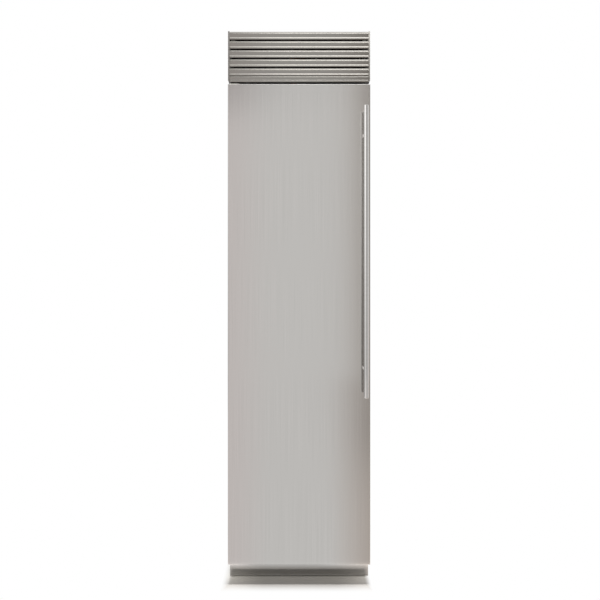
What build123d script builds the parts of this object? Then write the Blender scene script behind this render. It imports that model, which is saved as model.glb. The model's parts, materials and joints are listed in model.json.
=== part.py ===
from build123d import *
from math import cos, radians, sin, tan
import os

os.makedirs("parts", exist_ok=True)

# Tall refrigerator column with one door and a louvred grille above it.
# Millimetres, +Z up. The front faces -Y and +X is the viewer's right.
# The origin is on the floor, in the middle of the whole width and depth.

# Overall sizes
overall_height = 2134
door_width = 550
door_bottom = 76
door_thickness = 52
door_drop = 4
grille_height = 196
grille_gap = 8
grille_inset = 1
case_inset = 2
case_depth = 548
gasket_space = 12
bar_radius = 9
bar_standoff = 58

# Stock and clearances
sheet = 1.2
frame_sheet = 1.5
plastic = 3
fit = 0.3
running = 0.05
overrun = 5

# Insulated walls and the space inside them
side_wall = 46
floor_wall = 50
roof_wall = 54
back_wall = 56.2
inner_radius = 20

# Places that many pieces share
door_side = door_width / 2
grille_bottom = overall_height - grille_height
door_top = grille_bottom - grille_gap
door_height = door_top - door_bottom
case_bottom = door_bottom + door_drop
total_depth = bar_radius + bar_standoff + door_thickness + gasket_space + case_depth
door_front = bar_radius + bar_standoff - total_depth / 2
door_back = door_front + door_thickness
case_front = door_back + gasket_space
case_back = case_front + case_depth
case_side = door_side - case_inset
deck_top = door_top
inner_side = case_side - side_wall
inner_floor = case_bottom + floor_wall
inner_roof = deck_top - roof_wall
liner_front = case_front + frame_sheet + fit
inner_back = case_back - back_wall
inner_depth = inner_back - liner_front
panel_back = case_back - sheet - fit
panel_top = overall_height - sheet - fit
pan_side = case_side - sheet - fit
pan_front = liner_front + sheet + fit
pan_back = panel_back - sheet - fit

# Door hinge, a vertical axis near the left edge
hinge_inset = 12
hinge_setback = 22
hinge_x = hinge_inset - door_side
hinge_y = door_front + hinge_setback
hinge_pin_radius = 5
hinge_pin_length = 14
hinge_plate = 4
bush_radius = 8
bush_rim = 2
bush_flange = 1
bush_length = 17

# Refrigerant circuit, whose pipes cross several walls
pipe_radius = 4
pipe_bend = 10
drain_radius = 8
drain_bore = 6
drain_bend = 12
drain_room = 2

# Cold air cover, coil and drain at the back of the inner space
cover_margin = 27
cover_height = 331
cover_depth = 62
header_margin = 35
evaporator_gap = 6
evaporator_depth = 44
drain_inset = 100
drain_setback = 18
drain_rise = 21
cover_half = inner_side - cover_margin
cover_bottom = inner_roof - cover_height
evaporator_y = inner_back - evaporator_gap - evaporator_depth / 2
suction_x = cover_half - header_margin
capillary_x = -suction_x
drain_x = cover_half - drain_inset
drain_y = inner_back + plastic + drain_setback
drain_top = cover_bottom + drain_rise

# Levels that the drawers, shelves, bins and lights share
drawer_height = 172
drawer_gap = 18
drawer_floor_gap = 12
shelf_count = 4
shelf_rise = 26
shelf_drop = 40
drawer_pitch = drawer_height + drawer_gap
lowest_drawer_z = inner_floor + drawer_floor_gap
lowest_shelf_z = lowest_drawer_z + drawer_pitch + drawer_height + shelf_rise
shelf_pitch = (cover_bottom - shelf_drop - lowest_shelf_z) / (shelf_count - 1)


def front_plane(y):
    # An upright plane at depth y, seen from the front: x to the right, z up.
    return Plane(origin=(0, y, 0), x_dir=(1, 0, 0), z_dir=(0, -1, 0))


def rectangle_between(x_a, x_b, y_a, y_b, mode=Mode.ADD):
    # A rectangle between two opposite corners of the current sketch.
    with Locations(((x_a + x_b) / 2, (y_a + y_b) / 2)):
        Rectangle(abs(x_b - x_a), abs(y_b - y_a), mode=mode)


def block_between(low, high, mode=Mode.ADD):
    # A block between two opposite corners.
    middle = (Vector(*low) + Vector(*high)) / 2
    size = Vector(*high) - Vector(*low)
    with Locations(middle):
        Box(abs(size.X), abs(size.Y), abs(size.Z), mode=mode)


def rod_between(start, end, radius, mode=Mode.ADD):
    # A round rod from one point to another.
    along = Vector(*end) - Vector(*start)
    with Locations(Plane(origin=start, z_dir=along)):
        Cylinder(radius, along.length, align=(Align.CENTER, Align.CENTER, Align.MIN), mode=mode)


# Case

panel_return = 20
fixing_radius = 2.75
fixing_spacing = 120
fixing_setback = 35
fixing_z = (deck_top + overall_height) / 2
fixing_y = case_front + fixing_setback

for side, side_name in ((-1, "left"), (1, "right")):
    with BuildPart() as side_panel:
        with BuildSketch(Plane.XY.offset(case_bottom)):
            rectangle_between(side * (case_side - panel_return), side * case_side, liner_front, panel_back)
            rectangle_between(
                side * (case_side - panel_return - overrun),
                side * (case_side - sheet),
                liner_front + sheet,
                panel_back - sheet,
                mode=Mode.SUBTRACT,
            )
        extrude(amount=panel_top - case_bottom)
        for height in (fixing_z - fixing_spacing / 2, fixing_z + fixing_spacing / 2):
            rod_between(
                (side * (case_side - panel_return), fixing_y, height),
                (side * (case_side + overrun), fixing_y, height),
                fixing_radius,
                mode=Mode.SUBTRACT,
            )
    side_panel.part.label = f"side_panel_{side_name}"
    export_step(side_panel.part, f"parts/side_panel_{side_name}.step")

swage_width = 34
swage_depth = 0.9
swage_pitch = 150
swage_count = 3
swage_margin = 130
gland_inset = 58
gland_drop = 72
gland_radius = 11
gland_x = case_side - gland_inset
gland_z = overall_height - gland_drop
swage_length = inner_roof - case_bottom - 2 * swage_margin
swage_z = (inner_roof + case_bottom) / 2

with BuildPart() as rear_panel:
    with BuildSketch(front_plane(case_back - sheet)):
        rectangle_between(-case_side, case_side, case_bottom, panel_top)
    extrude(amount=-sheet)
    # Upright swages are pressed inwards to stiffen the sheet.
    with BuildSketch(front_plane(case_back - sheet)):
        with Locations((0, swage_z)):
            with GridLocations(swage_pitch, 0, swage_count, 1):
                SlotOverall(swage_length, swage_width, rotation=90)
    extrude(amount=swage_depth)
    with BuildSketch(front_plane(case_back)):
        with Locations((0, swage_z)):
            with GridLocations(swage_pitch, 0, swage_count, 1):
                SlotOverall(swage_length - 2 * sheet, swage_width - 2 * sheet, rotation=90)
    extrude(amount=swage_depth, mode=Mode.SUBTRACT)
    rod_between(
        (gland_x, case_back - sheet - overrun, gland_z),
        (gland_x, case_back + overrun, gland_z),
        gland_radius + fit,
        mode=Mode.SUBTRACT,
    )
rear_panel.part.label = "rear_panel"
export_step(rear_panel.part, "parts/rear_panel.step")

base_pan_lip = 10

with BuildPart() as base_pan:
    with BuildSketch(Plane.XY.offset(case_bottom)):
        rectangle_between(-pan_side, pan_side, pan_front, pan_back)
        with Locations((drain_x, drain_y)):
            Circle(drain_radius + fit, mode=Mode.SUBTRACT)
    extrude(amount=sheet)
    with BuildSketch(Plane.XY.offset(case_bottom)):
        rectangle_between(-pan_side + panel_return, pan_side - panel_return, pan_back - sheet, pan_back)
    extrude(amount=-base_pan_lip)
base_pan.part.label = "base_pan"
export_step(base_pan.part, "parts/base_pan.step")

deck_upstand = 22
deck_flange = 14
hinge_plate_reach = 38
hinge_plate_right = hinge_x + hinge_plate_reach

with BuildPart() as machine_deck:
    with BuildSketch(Plane.XY.offset(deck_top - sheet)):
        rectangle_between(-pan_side, pan_side, pan_front, pan_back)
        with Locations((suction_x, evaporator_y), (capillary_x, evaporator_y)):
            Circle(pipe_radius + fit, mode=Mode.SUBTRACT)
    extrude(amount=sheet)
    # The front edge is folded up, clear of the upper hinge plate.
    with BuildSketch(Plane.XY.offset(deck_top)):
        rectangle_between(hinge_plate_right + plastic, pan_side, pan_front, pan_front + sheet)
    extrude(amount=deck_upstand)
    with BuildSketch(Plane.XY.offset(deck_top)):
        for side in (-1, 1):
            rectangle_between(side * (pan_side - sheet), side * pan_side, pan_front, pan_back)
    extrude(amount=deck_flange)
machine_deck.part.label = "machine_deck"
export_step(machine_deck.part, "parts/machine_deck.step")

top_flange = 18

with BuildPart() as top_cover:
    with BuildSketch(Plane.XY.offset(overall_height - sheet)):
        rectangle_between(-case_side, case_side, case_front, case_back)
    extrude(amount=sheet)
    with BuildSketch(Plane.XY.offset(overall_height - sheet)):
        for side in (-1, 1):
            rectangle_between(side * (pan_side - sheet), side * pan_side, pan_front, pan_back)
        rectangle_between(-pan_side, pan_side, pan_back - sheet, pan_back)
    extrude(amount=-top_flange)
top_cover.part.label = "top_cover"
export_step(top_cover.part, "parts/top_cover.step")

with BuildPart() as front_frame:
    with BuildSketch(front_plane(case_front)):
        rectangle_between(-case_side, case_side, case_bottom, deck_top)
        with Locations((0, (inner_floor + inner_roof) / 2)):
            RectangleRounded(2 * inner_side, inner_roof - inner_floor, inner_radius, mode=Mode.SUBTRACT)
    extrude(amount=-frame_sheet)
front_frame.part.label = "front_frame"
export_step(front_frame.part, "parts/front_frame.step")

liner_flange = 9
inner_height = inner_roof - inner_floor
inner_middle = (inner_roof + inner_floor) / 2

with BuildPart() as liner:
    with BuildSketch(front_plane(liner_front)):
        with Locations((0, inner_middle)):
            RectangleRounded(2 * (inner_side + plastic), inner_height + 2 * plastic, inner_radius + plastic)
    extrude(amount=-(inner_depth + plastic))
    with BuildSketch(front_plane(liner_front)):
        with Locations((0, inner_middle)):
            RectangleRounded(
                2 * (inner_side + liner_flange), inner_height + 2 * liner_flange, inner_radius + liner_flange
            )
    extrude(amount=-plastic)
    with BuildSketch(front_plane(liner_front)):
        with Locations((0, inner_middle)):
            RectangleRounded(2 * inner_side, inner_height, inner_radius)
    extrude(amount=-inner_depth, mode=Mode.SUBTRACT)
    for pipe_x in (suction_x, capillary_x):
        rod_between(
            (pipe_x, evaporator_y, inner_roof - overrun),
            (pipe_x, evaporator_y, inner_roof + plastic + overrun),
            pipe_radius + fit,
            mode=Mode.SUBTRACT,
        )
    rod_between(
        (drain_x, inner_back - overrun, drain_top),
        (drain_x, inner_back + plastic + overrun, drain_top),
        drain_radius + fit,
        mode=Mode.SUBTRACT,
    )
liner.part.label = "liner"
export_step(liner.part, "parts/liner.step")

foam_front = liner_front + plastic + fit
foam_back = pan_back
foam_bottom = case_bottom + sheet + fit
foam_top = deck_top - sheet - fit

with BuildPart() as insulation:
    with BuildSketch(front_plane(foam_front)):
        rectangle_between(-pan_side, pan_side, foam_bottom, foam_top)
    extrude(amount=-(foam_back - foam_front))
    with BuildSketch(front_plane(foam_front)):
        with Locations((0, inner_middle)):
            RectangleRounded(
                2 * (inner_side + plastic + fit),
                inner_height + 2 * (plastic + fit),
                inner_radius + plastic + fit,
            )
    extrude(amount=-(inner_back + plastic + fit - foam_front), mode=Mode.SUBTRACT)
    for pipe_x in (suction_x, capillary_x):
        rod_between(
            (pipe_x, evaporator_y, inner_roof),
            (pipe_x, evaporator_y, foam_top + overrun),
            pipe_radius + fit,
            mode=Mode.SUBTRACT,
        )
    rod_between(
        (drain_x, drain_y, foam_bottom - overrun),
        (drain_x, drain_y, drain_top + drain_radius + drain_room),
        drain_radius + drain_room,
        mode=Mode.SUBTRACT,
    )
    rod_between(
        (drain_x, inner_back, drain_top),
        (drain_x, drain_y, drain_top),
        drain_radius + drain_room,
        mode=Mode.SUBTRACT,
    )
insulation.part.label = "insulation"
export_step(insulation.part, "parts/insulation.step")

bracket_width = 30
bracket_leg = 14
bracket_sheet = 2
bracket_height = 150
bracket_z = fixing_z - bracket_height / 2

with BuildPart() as fixing_brackets:
    for side in (-1, 1):
        with BuildSketch(Plane.XY.offset(bracket_z)):
            outer_x = side * pan_side
            rectangle_between(
                outer_x,
                outer_x - side * bracket_sheet,
                fixing_y - bracket_width / 2,
                fixing_y + bracket_width / 2,
            )
            rectangle_between(
                outer_x,
                outer_x - side * bracket_leg,
                fixing_y + bracket_width / 2 - bracket_sheet,
                fixing_y + bracket_width / 2,
            )
        extrude(amount=bracket_height)
        for height in (fixing_z - fixing_spacing / 2, fixing_z + fixing_spacing / 2):
            rod_between(
                (outer_x - side * bracket_leg, fixing_y, height),
                (outer_x + side * overrun, fixing_y, height),
                fixing_radius,
                mode=Mode.SUBTRACT,
            )
fixing_brackets.part.label = "fixing_brackets"
export_step(fixing_brackets.part, "parts/fixing_brackets.step")

# Base, feet and rollers

channel_width = 40
channel_sheet = 3
channel_inset = 8
base_low = 30
base_high = case_bottom - fit
rail_drop = 10
rail_depth = 24
foot_setback = 70
foot_pad_radius = 19
foot_pad_height = 9
foot_stem_radius = 6
foot_stem_room = 4.7
foot_nut_radius = 11
foot_nut_height = 16
roller_radius = 25
roller_width = 22
roller_bore = 5
roller_hub_radius = 10
roller_setback = 75
cheek_drop = 14
front_rail_top = door_bottom - rail_drop
channel_outer = case_side - channel_inset
channel_inner = channel_outer - channel_width
channel_x = (channel_inner + channel_outer) / 2
channel_front = case_front + frame_sheet + fit + rail_depth
channel_back = case_back - channel_inset - sheet - base_pan_lip
foot_y = case_front + foot_setback
foot_stem_top = base_high - channel_sheet - foot_stem_room
roller_y = case_back - roller_setback
fork_half = channel_width / 2 - channel_sheet
rail_front = case_front + frame_sheet + fit
tray_back = channel_back - channel_sheet - fit
tray_depth = 150
tray_front = tray_back - tray_depth

with BuildPart() as base_frame:
    for side in (-1, 1):
        # Side channels, open towards the middle.
        with BuildSketch(front_plane(channel_front)):
            rectangle_between(side * channel_inner, side * channel_outer, base_low, base_high)
            rectangle_between(
                side * (channel_inner - overrun),
                side * (channel_outer - channel_sheet),
                base_low + channel_sheet,
                base_high - channel_sheet,
                mode=Mode.SUBTRACT,
            )
        extrude(amount=-(channel_back - channel_front))
        # Nut and bore for the levelling foot.
        rod_between(
            (side * channel_x, foot_y, base_low),
            (side * channel_x, foot_y, base_low + foot_nut_height),
            foot_nut_radius,
        )
        rod_between(
            (side * channel_x, foot_y, base_low - overrun),
            (side * channel_x, foot_y, base_high - channel_sheet),
            foot_stem_radius + running,
            mode=Mode.SUBTRACT,
        )
        # Window and cheeks that hold the roller.
        block_between(
            (side * channel_x - fork_half, roller_y - roller_radius - plastic, base_low - overrun),
            (side * channel_x + fork_half, roller_y + roller_radius + plastic, base_low + channel_sheet),
            mode=Mode.SUBTRACT,
        )
        for cheek_side in (-1, 1):
            with BuildSketch(Plane.YZ.offset(side * channel_x + cheek_side * fork_half)):
                with BuildLine():
                    Polyline(
                        (roller_y - roller_radius, base_high - channel_sheet),
                        (roller_y - roller_radius, base_low),
                        (roller_y - roller_hub_radius, cheek_drop),
                        (roller_y + roller_hub_radius, cheek_drop),
                        (roller_y + roller_radius, base_low),
                        (roller_y + roller_radius, base_high - channel_sheet),
                        close=True,
                    )
                make_face()
            extrude(amount=cheek_side * channel_sheet)
        rod_between(
            (side * channel_x - fork_half - channel_sheet, roller_y, roller_radius),
            (side * channel_x + fork_half + channel_sheet, roller_y, roller_radius),
            roller_bore,
        )
    # Cross rails: a front one behind the plinth, a rear one, and two flats under the tray.
    with BuildSketch(Plane.YZ.offset(-channel_outer)):
        rectangle_between(rail_front, channel_front, base_low, front_rail_top)
        rectangle_between(
            rail_front + channel_sheet,
            channel_front + overrun,
            base_low + channel_sheet,
            front_rail_top - channel_sheet,
            mode=Mode.SUBTRACT,
        )
    extrude(amount=2 * channel_outer)
    block_between(
        (channel_sheet - channel_outer, channel_back - channel_sheet, base_low),
        (channel_outer - channel_sheet, channel_back, front_rail_top),
    )
    for flat_y in (tray_front + rail_depth / 2, tray_back - rail_depth):
        block_between(
            (-channel_inner - channel_sheet, flat_y - rail_depth / 2, base_low),
            (channel_inner + channel_sheet, flat_y + rail_depth / 2, base_low + channel_sheet),
        )
base_frame.part.label = "base_frame"
export_step(base_frame.part, "parts/base_frame.step")

for side, side_name in ((-1, "left"), (1, "right")):
    with BuildPart() as foot:
        with BuildSketch(Plane.YZ.offset(side * channel_x)):
            with BuildLine():
                Polyline(
                    (foot_y, 0),
                    (foot_y + foot_pad_radius - sheet, 0),
                    (foot_y + foot_pad_radius, sheet),
                    (foot_y + foot_pad_radius, foot_pad_height / 2),
                    (foot_y + foot_pad_radius / 2, foot_pad_height),
                    (foot_y + foot_stem_radius, foot_pad_height),
                    (foot_y + foot_stem_radius, foot_stem_top - sheet),
                    (foot_y + foot_stem_radius - sheet, foot_stem_top),
                    (foot_y, foot_stem_top),
                    close=True,
                )
            make_face()
        revolve(axis=Axis((side * channel_x, foot_y, 0), (0, 0, 1)))
        # Hexagon for the levelling spanner.
        with BuildSketch(Plane.XY.offset(foot_pad_height)):
            with Locations((side * channel_x, foot_y)):
                RegularPolygon(foot_nut_radius, 6)
        extrude(amount=foot_pad_height)
    foot.part.label = f"foot_{side_name}"
    export_step(foot.part, f"parts/foot_{side_name}.step")

    with BuildPart() as roller:
        with BuildSketch(Plane.XY.offset(roller_radius)):
            with BuildLine():
                Polyline(
                    (side * channel_x - fork_half + fit, roller_y + roller_bore + running),
                    (side * channel_x - fork_half + fit, roller_y + roller_hub_radius),
                    (side * channel_x - roller_width / 2, roller_y + roller_hub_radius),
                    (side * channel_x - roller_width / 2, roller_y + roller_radius - sheet),
                    (side * channel_x - roller_width / 2 + sheet, roller_y + roller_radius),
                    (side * channel_x + roller_width / 2 - sheet, roller_y + roller_radius),
                    (side * channel_x + roller_width / 2, roller_y + roller_radius - sheet),
                    (side * channel_x + roller_width / 2, roller_y + roller_hub_radius),
                    (side * channel_x + fork_half - fit, roller_y + roller_hub_radius),
                    (side * channel_x + fork_half - fit, roller_y + roller_bore + running),
                    close=True,
                )
            make_face()
        revolve(axis=Axis((0, roller_y, roller_radius), (1, 0, 0)))
    roller.part.label = f"roller_{side_name}"
    export_step(roller.part, f"parts/roller_{side_name}.step")

plinth_bottom = 3.5
plinth_return = 30
plinth_fold = 12
plinth_bead = 5
plinth_bead_depth = 1

with BuildPart() as plinth:
    with BuildSketch(Plane.XY.offset(plinth_bottom)):
        rectangle_between(-case_side, case_side, case_front, case_front + plinth_return)
        rectangle_between(
            -case_side + frame_sheet,
            case_side - frame_sheet,
            case_front + frame_sheet,
            case_front + plinth_return + overrun,
            mode=Mode.SUBTRACT,
        )
    extrude(amount=front_rail_top - plinth_bottom)
    # Lower edge folded back, with a shallow line above the fold.
    with BuildSketch(Plane.XY.offset(plinth_bottom)):
        rectangle_between(-case_side, case_side, case_front, case_front + plinth_fold)
    extrude(amount=frame_sheet)
    block_between(
        (-case_side - overrun, case_front - overrun, plinth_bottom + plinth_bead),
        (case_side + overrun, case_front + plinth_bead_depth, plinth_bottom + plinth_bead + frame_sheet),
        mode=Mode.SUBTRACT,
    )
plinth.part.label = "plinth"
export_step(plinth.part, "parts/plinth.step")

tray_wall = 2.5
tray_margin = 65
tray_height = 30
drain_dip = 3.3
tray_half = channel_inner - tray_margin
tray_floor = base_low + channel_sheet + fit
drain_end = tray_floor + tray_height - drain_dip

with BuildPart() as evaporation_tray:
    with BuildSketch(Plane.XY.offset(tray_floor)):
        with Locations((0, (tray_front + tray_back) / 2)):
            RectangleRounded(2 * tray_half, tray_depth, inner_radius)
    extrude(amount=tray_height)
    offset(amount=-tray_wall, openings=evaporation_tray.faces().sort_by(Axis.Z)[-1])
evaporation_tray.part.label = "evaporation_tray"
export_step(evaporation_tray.part, "parts/evaporation_tray.step")

with BuildPart() as drain_tube:
    with BuildLine() as drain_path:
        FilletPolyline(
            (drain_x, inner_back, drain_top),
            (drain_x, drain_y, drain_top),
            (drain_x, drain_y, drain_end),
            radius=drain_bend,
        )
    with BuildSketch(front_plane(inner_back)):
        with Locations((drain_x, drain_top)):
            Circle(drain_radius)
            Circle(drain_bore, mode=Mode.SUBTRACT)
    sweep(path=drain_path.line)
drain_tube.part.label = "drain_tube"
export_step(drain_tube.part, "parts/drain_tube.step")

# Hinge plates of the door

hinge_nose = 11
hinge_tail = 38
hinge_foot = 24


def hinge_outline():
    # The plate goes forward past the case edge and back inside the side panel.
    rectangle_between(hinge_x - hinge_nose, hinge_plate_right, hinge_y, case_front - fit)
    rectangle_between(
        -case_side + panel_return + fit, hinge_plate_right, case_front - fit, case_front + hinge_tail
    )
    with Locations((hinge_x, hinge_y)):
        Circle(hinge_nose)
    rectangle_between(hinge_x, hinge_plate_right - hinge_nose, hinge_y - hinge_nose, hinge_y)
    with Locations((hinge_plate_right - hinge_nose, hinge_y)):
        Circle(hinge_nose)


top_plate_z = door_top + bush_flange + fit
low_plate_z = door_bottom - bush_flange - fit - hinge_plate

with BuildPart() as hinge_top:
    with BuildSketch(Plane.XY.offset(top_plate_z)):
        hinge_outline()
    extrude(amount=hinge_plate)
    with BuildSketch(Plane.XY.offset(deck_top + fit)):
        rectangle_between(
            hinge_plate_right - hinge_foot, hinge_plate_right, pan_front, case_front + hinge_tail
        )
    extrude(amount=top_plate_z - deck_top - fit)
    rod_between(
        (hinge_x, hinge_y, top_plate_z), (hinge_x, hinge_y, top_plate_z - hinge_pin_length), hinge_pin_radius
    )
hinge_top.part.label = "hinge_top"
export_step(hinge_top.part, "parts/hinge_top.step")

with BuildPart() as hinge_bottom:
    with BuildSketch(Plane.XY.offset(low_plate_z)):
        hinge_outline()
    extrude(amount=hinge_plate)
    # A packing foot carries the plate on the front rail.
    with BuildSketch(Plane.XY.offset(front_rail_top + fit)):
        rectangle_between(
            hinge_plate_right - hinge_foot, hinge_plate_right, rail_front, channel_front - channel_sheet
        )
    extrude(amount=low_plate_z - front_rail_top - fit)
    rod_between(
        (hinge_x, hinge_y, low_plate_z + hinge_plate),
        (hinge_x, hinge_y, low_plate_z + hinge_plate + hinge_pin_length),
        hinge_pin_radius,
    )
hinge_bottom.part.label = "hinge_bottom"
export_step(hinge_bottom.part, "parts/hinge_bottom.step")

# Door

edge_radius = 2
skin_depth = door_thickness - plastic - fit
door_inner_side = door_side - sheet - fit
door_foam_front = door_front + sheet + fit
door_foam_back = door_back - plastic - fit

with BuildPart() as door_skin:
    with BuildSketch(Plane.XY.offset(door_bottom)):
        rectangle_between(-door_side, door_side, door_front, door_front + skin_depth)
    extrude(amount=door_height)
    fillet(door_skin.edges().group_by(Axis.Y)[0], edge_radius)
    offset(amount=-sheet, openings=door_skin.faces().sort_by(Axis.Y)[-1])
    for end_z in (door_bottom, door_top):
        rod_between(
            (hinge_x, hinge_y, end_z - overrun),
            (hinge_x, hinge_y, end_z + overrun),
            bush_radius + fit,
            mode=Mode.SUBTRACT,
        )
door_skin.part.label = "door_skin"
export_step(door_skin.part, "parts/door_skin.step")

with BuildPart() as door_insulation:
    with BuildSketch(Plane.XY.offset(door_bottom + sheet + fit)):
        rectangle_between(-door_inner_side, door_inner_side, door_foam_front, door_foam_back)
    extrude(amount=door_height - 2 * (sheet + fit))
    fillet(door_insulation.edges().group_by(Axis.Y)[0], edge_radius)
    for end_z, inward in ((door_bottom, 1), (door_top, -1)):
        rod_between(
            (hinge_x, hinge_y, end_z),
            (hinge_x, hinge_y, end_z + inward * (bush_length + fit)),
            bush_radius + fit,
            mode=Mode.SUBTRACT,
        )
door_insulation.part.label = "door_insulation"
export_step(door_insulation.part, "parts/door_insulation.step")

with BuildPart() as hinge_bushes:
    for end_z, inward in ((door_bottom, 1), (door_top, -1)):
        rod_between(
            (hinge_x, hinge_y, end_z - inward * bush_flange),
            (hinge_x, hinge_y, end_z),
            bush_radius + bush_rim,
        )
        rod_between(
            (hinge_x, hinge_y, end_z), (hinge_x, hinge_y, end_z + inward * bush_length), bush_radius
        )
        rod_between(
            (hinge_x, hinge_y, end_z - inward * overrun),
            (hinge_x, hinge_y, end_z + inward * (hinge_pin_length + fit)),
            hinge_pin_radius + running,
            mode=Mode.SUBTRACT,
        )
hinge_bushes.part.label = "hinge_bushes"
export_step(hinge_bushes.part, "parts/hinge_bushes.step")

dyke_margin = 15
dyke_end_margin = 10
dyke_width = 14
dyke_depth = 24
dyke_wall = 2.5
liner_rim = 1.5
dyke_side = inner_side - dyke_margin
dyke_low = inner_floor + dyke_end_margin
dyke_high = inner_roof - dyke_end_margin
dyke_middle = (dyke_low + dyke_high) / 2
dyke_height = dyke_high - dyke_low

with BuildPart() as door_liner:
    with BuildSketch(front_plane(door_back - plastic)):
        rectangle_between(
            -door_side + liner_rim, door_side - liner_rim, door_bottom + liner_rim, door_top - liner_rim
        )
    extrude(amount=-plastic)
    # The raised dyke stands into the case opening and carries the bins.
    with BuildSketch(front_plane(door_back)):
        with Locations((0, dyke_middle)):
            RectangleRounded(2 * dyke_side, dyke_height, inner_radius)
            RectangleRounded(
                2 * (dyke_side - dyke_width), dyke_height - 2 * dyke_width, dyke_width, mode=Mode.SUBTRACT
            )
    extrude(amount=-dyke_depth)
    fillet(door_liner.faces().sort_by(Axis.Y)[-1].edges(), dyke_wall)
door_liner.part.label = "door_liner"
export_step(door_liner.part, "parts/door_liner.step")

gasket_width = 14
gasket_groove = 2
gasket_margin = 10
gasket_side = -hinge_x
gasket_low = case_bottom + gasket_margin
gasket_high = deck_top - gasket_margin
gasket_middle = (gasket_low + gasket_high) / 2
gasket_height = gasket_high - gasket_low
gasket_front = door_back + fit
gasket_back = case_front - fit

with BuildPart() as door_gasket:
    with BuildSketch(front_plane(gasket_front)):
        with Locations((0, gasket_middle)):
            RectangleRounded(2 * gasket_side, gasket_height, gasket_width / 2)
            RectangleRounded(
                2 * (gasket_side - gasket_width),
                gasket_height - 2 * gasket_width,
                gasket_width / 4,
                mode=Mode.SUBTRACT,
            )
    extrude(amount=-(gasket_back - gasket_front))
    # Bellows fold along the outside of the seal.
    with BuildSketch(front_plane((gasket_front + gasket_back) / 2 - gasket_groove / 2)):
        with Locations((0, gasket_middle)):
            RectangleRounded(2 * gasket_side + overrun, gasket_height + overrun, gasket_width / 2)
            RectangleRounded(
                2 * (gasket_side - gasket_groove),
                gasket_height - 2 * gasket_groove,
                gasket_width / 2,
                mode=Mode.SUBTRACT,
            )
    extrude(amount=-gasket_groove, mode=Mode.SUBTRACT)
door_gasket.part.label = "door_gasket"
export_step(door_gasket.part, "parts/door_gasket.step")

bar_inset = 22
bar_rise = 655
bar_drop = 95
bar_cap = 1
post_inset = 102
post_radius = 6
post_foot_radius = 9
post_foot = 3
bar_x = door_side - bar_inset
bar_y = door_front - bar_standoff
bar_low = door_bottom + bar_rise
bar_high = door_top - bar_drop

with BuildPart() as handle_bar:
    with BuildSketch(Plane.XY.offset(bar_low)):
        with Locations((bar_x, bar_y)):
            Circle(bar_radius)
    extrude(amount=bar_high - bar_low)
    chamfer(handle_bar.edges().filter_by(GeomType.CIRCLE), bar_cap)
handle_bar.part.label = "handle_bar"
export_step(handle_bar.part, "parts/handle_bar.step")

with BuildPart() as handle_posts:
    for post_z in (bar_low + post_inset, bar_high - post_inset):
        rod_between((bar_x, door_front - fit, post_z), (bar_x, bar_y, post_z), post_radius)
        rod_between(
            (bar_x, door_front - fit, post_z), (bar_x, door_front - fit - post_foot, post_z), post_foot_radius
        )
    rod_between(
        (bar_x, bar_y, bar_low), (bar_x, bar_y, bar_high), bar_radius + running, mode=Mode.SUBTRACT
    )
handle_posts.part.label = "handle_posts"
export_step(handle_posts.part, "parts/handle_posts.step")

bin_count = 3
bin_rise = 90
bin_drop = 456
bin_left_gap = 3
bin_right_gap = 6
bin_depth = 104
bin_height = 96
bin_wall = 2.5
bin_radius = 16
guard_radius = 3.5
guard_rise = 22
guard_post_radius = 2.5
bin_left = dyke_width + bin_left_gap - dyke_side
bin_right = dyke_side - dyke_width - bin_right_gap
bin_front = door_back + fit
bin_back = bin_front + bin_depth
lowest_bin_z = lowest_shelf_z + bin_rise
bin_pitch = (inner_roof - bin_drop - lowest_bin_z) / (bin_count - 1)

for index in range(bin_count):
    with BuildPart() as door_bin:
        with BuildSketch(Plane.XY.offset(lowest_bin_z + index * bin_pitch)):
            with Locations(((bin_left + bin_right) / 2, (bin_front + bin_back) / 2)):
                RectangleRounded(bin_right - bin_left, bin_depth, bin_radius)
        extrude(amount=bin_height)
        offset(amount=-bin_wall, openings=door_bin.faces().sort_by(Axis.Z)[-1])
    door_bin.part.label = f"door_bin_{index + 1}"
    export_step(door_bin.part, f"parts/door_bin_{index + 1}.step")

with BuildPart() as bin_guards:
    for index in range(bin_count):
        bin_top = lowest_bin_z + index * bin_pitch + bin_height + fit
        guard_y = bin_back - bin_wall / 2 - fit - guard_radius
        guard_z = bin_top + guard_rise
        rod_between(
            (bin_left + bin_radius, guard_y, guard_z),
            (bin_right - bin_radius, guard_y, guard_z),
            guard_radius,
        )
        for post_x in (bin_left + 2 * bin_radius, (bin_left + bin_right) / 2, bin_right - 2 * bin_radius):
            rod_between(
                (post_x, bin_back - bin_wall, bin_top),
                (post_x, bin_back - bin_wall, guard_z),
                guard_post_radius,
            )
bin_guards.part.label = "bin_guards"
export_step(bin_guards.part, "parts/bin_guards.step")

# Shelves inside

shelf_setback = 120
glass = 4
glass_side = inner_side - 4 * fit
shelf_front = case_front + shelf_setback
shelf_back = inner_back - cover_depth - glass
rail_width = 13
rail_height = 12
rail_inset = 14
trim_lip = 3
trim_depth = 12
rail_side = inner_side - fit
rail_start = shelf_front + rail_inset
rail_stop = shelf_back - rail_inset

for index in range(shelf_count):
    with BuildPart() as shelf_glass:
        with BuildSketch(Plane.XY.offset(lowest_shelf_z + index * shelf_pitch)):
            rectangle_between(-glass_side, glass_side, shelf_front, shelf_back)
        extrude(amount=glass)
        chamfer(shelf_glass.edges().filter_by(Axis.Z), glass / 2)
    shelf_glass.part.label = f"shelf_glass_{index + 1}"
    export_step(shelf_glass.part, f"parts/shelf_glass_{index + 1}.step")

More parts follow.
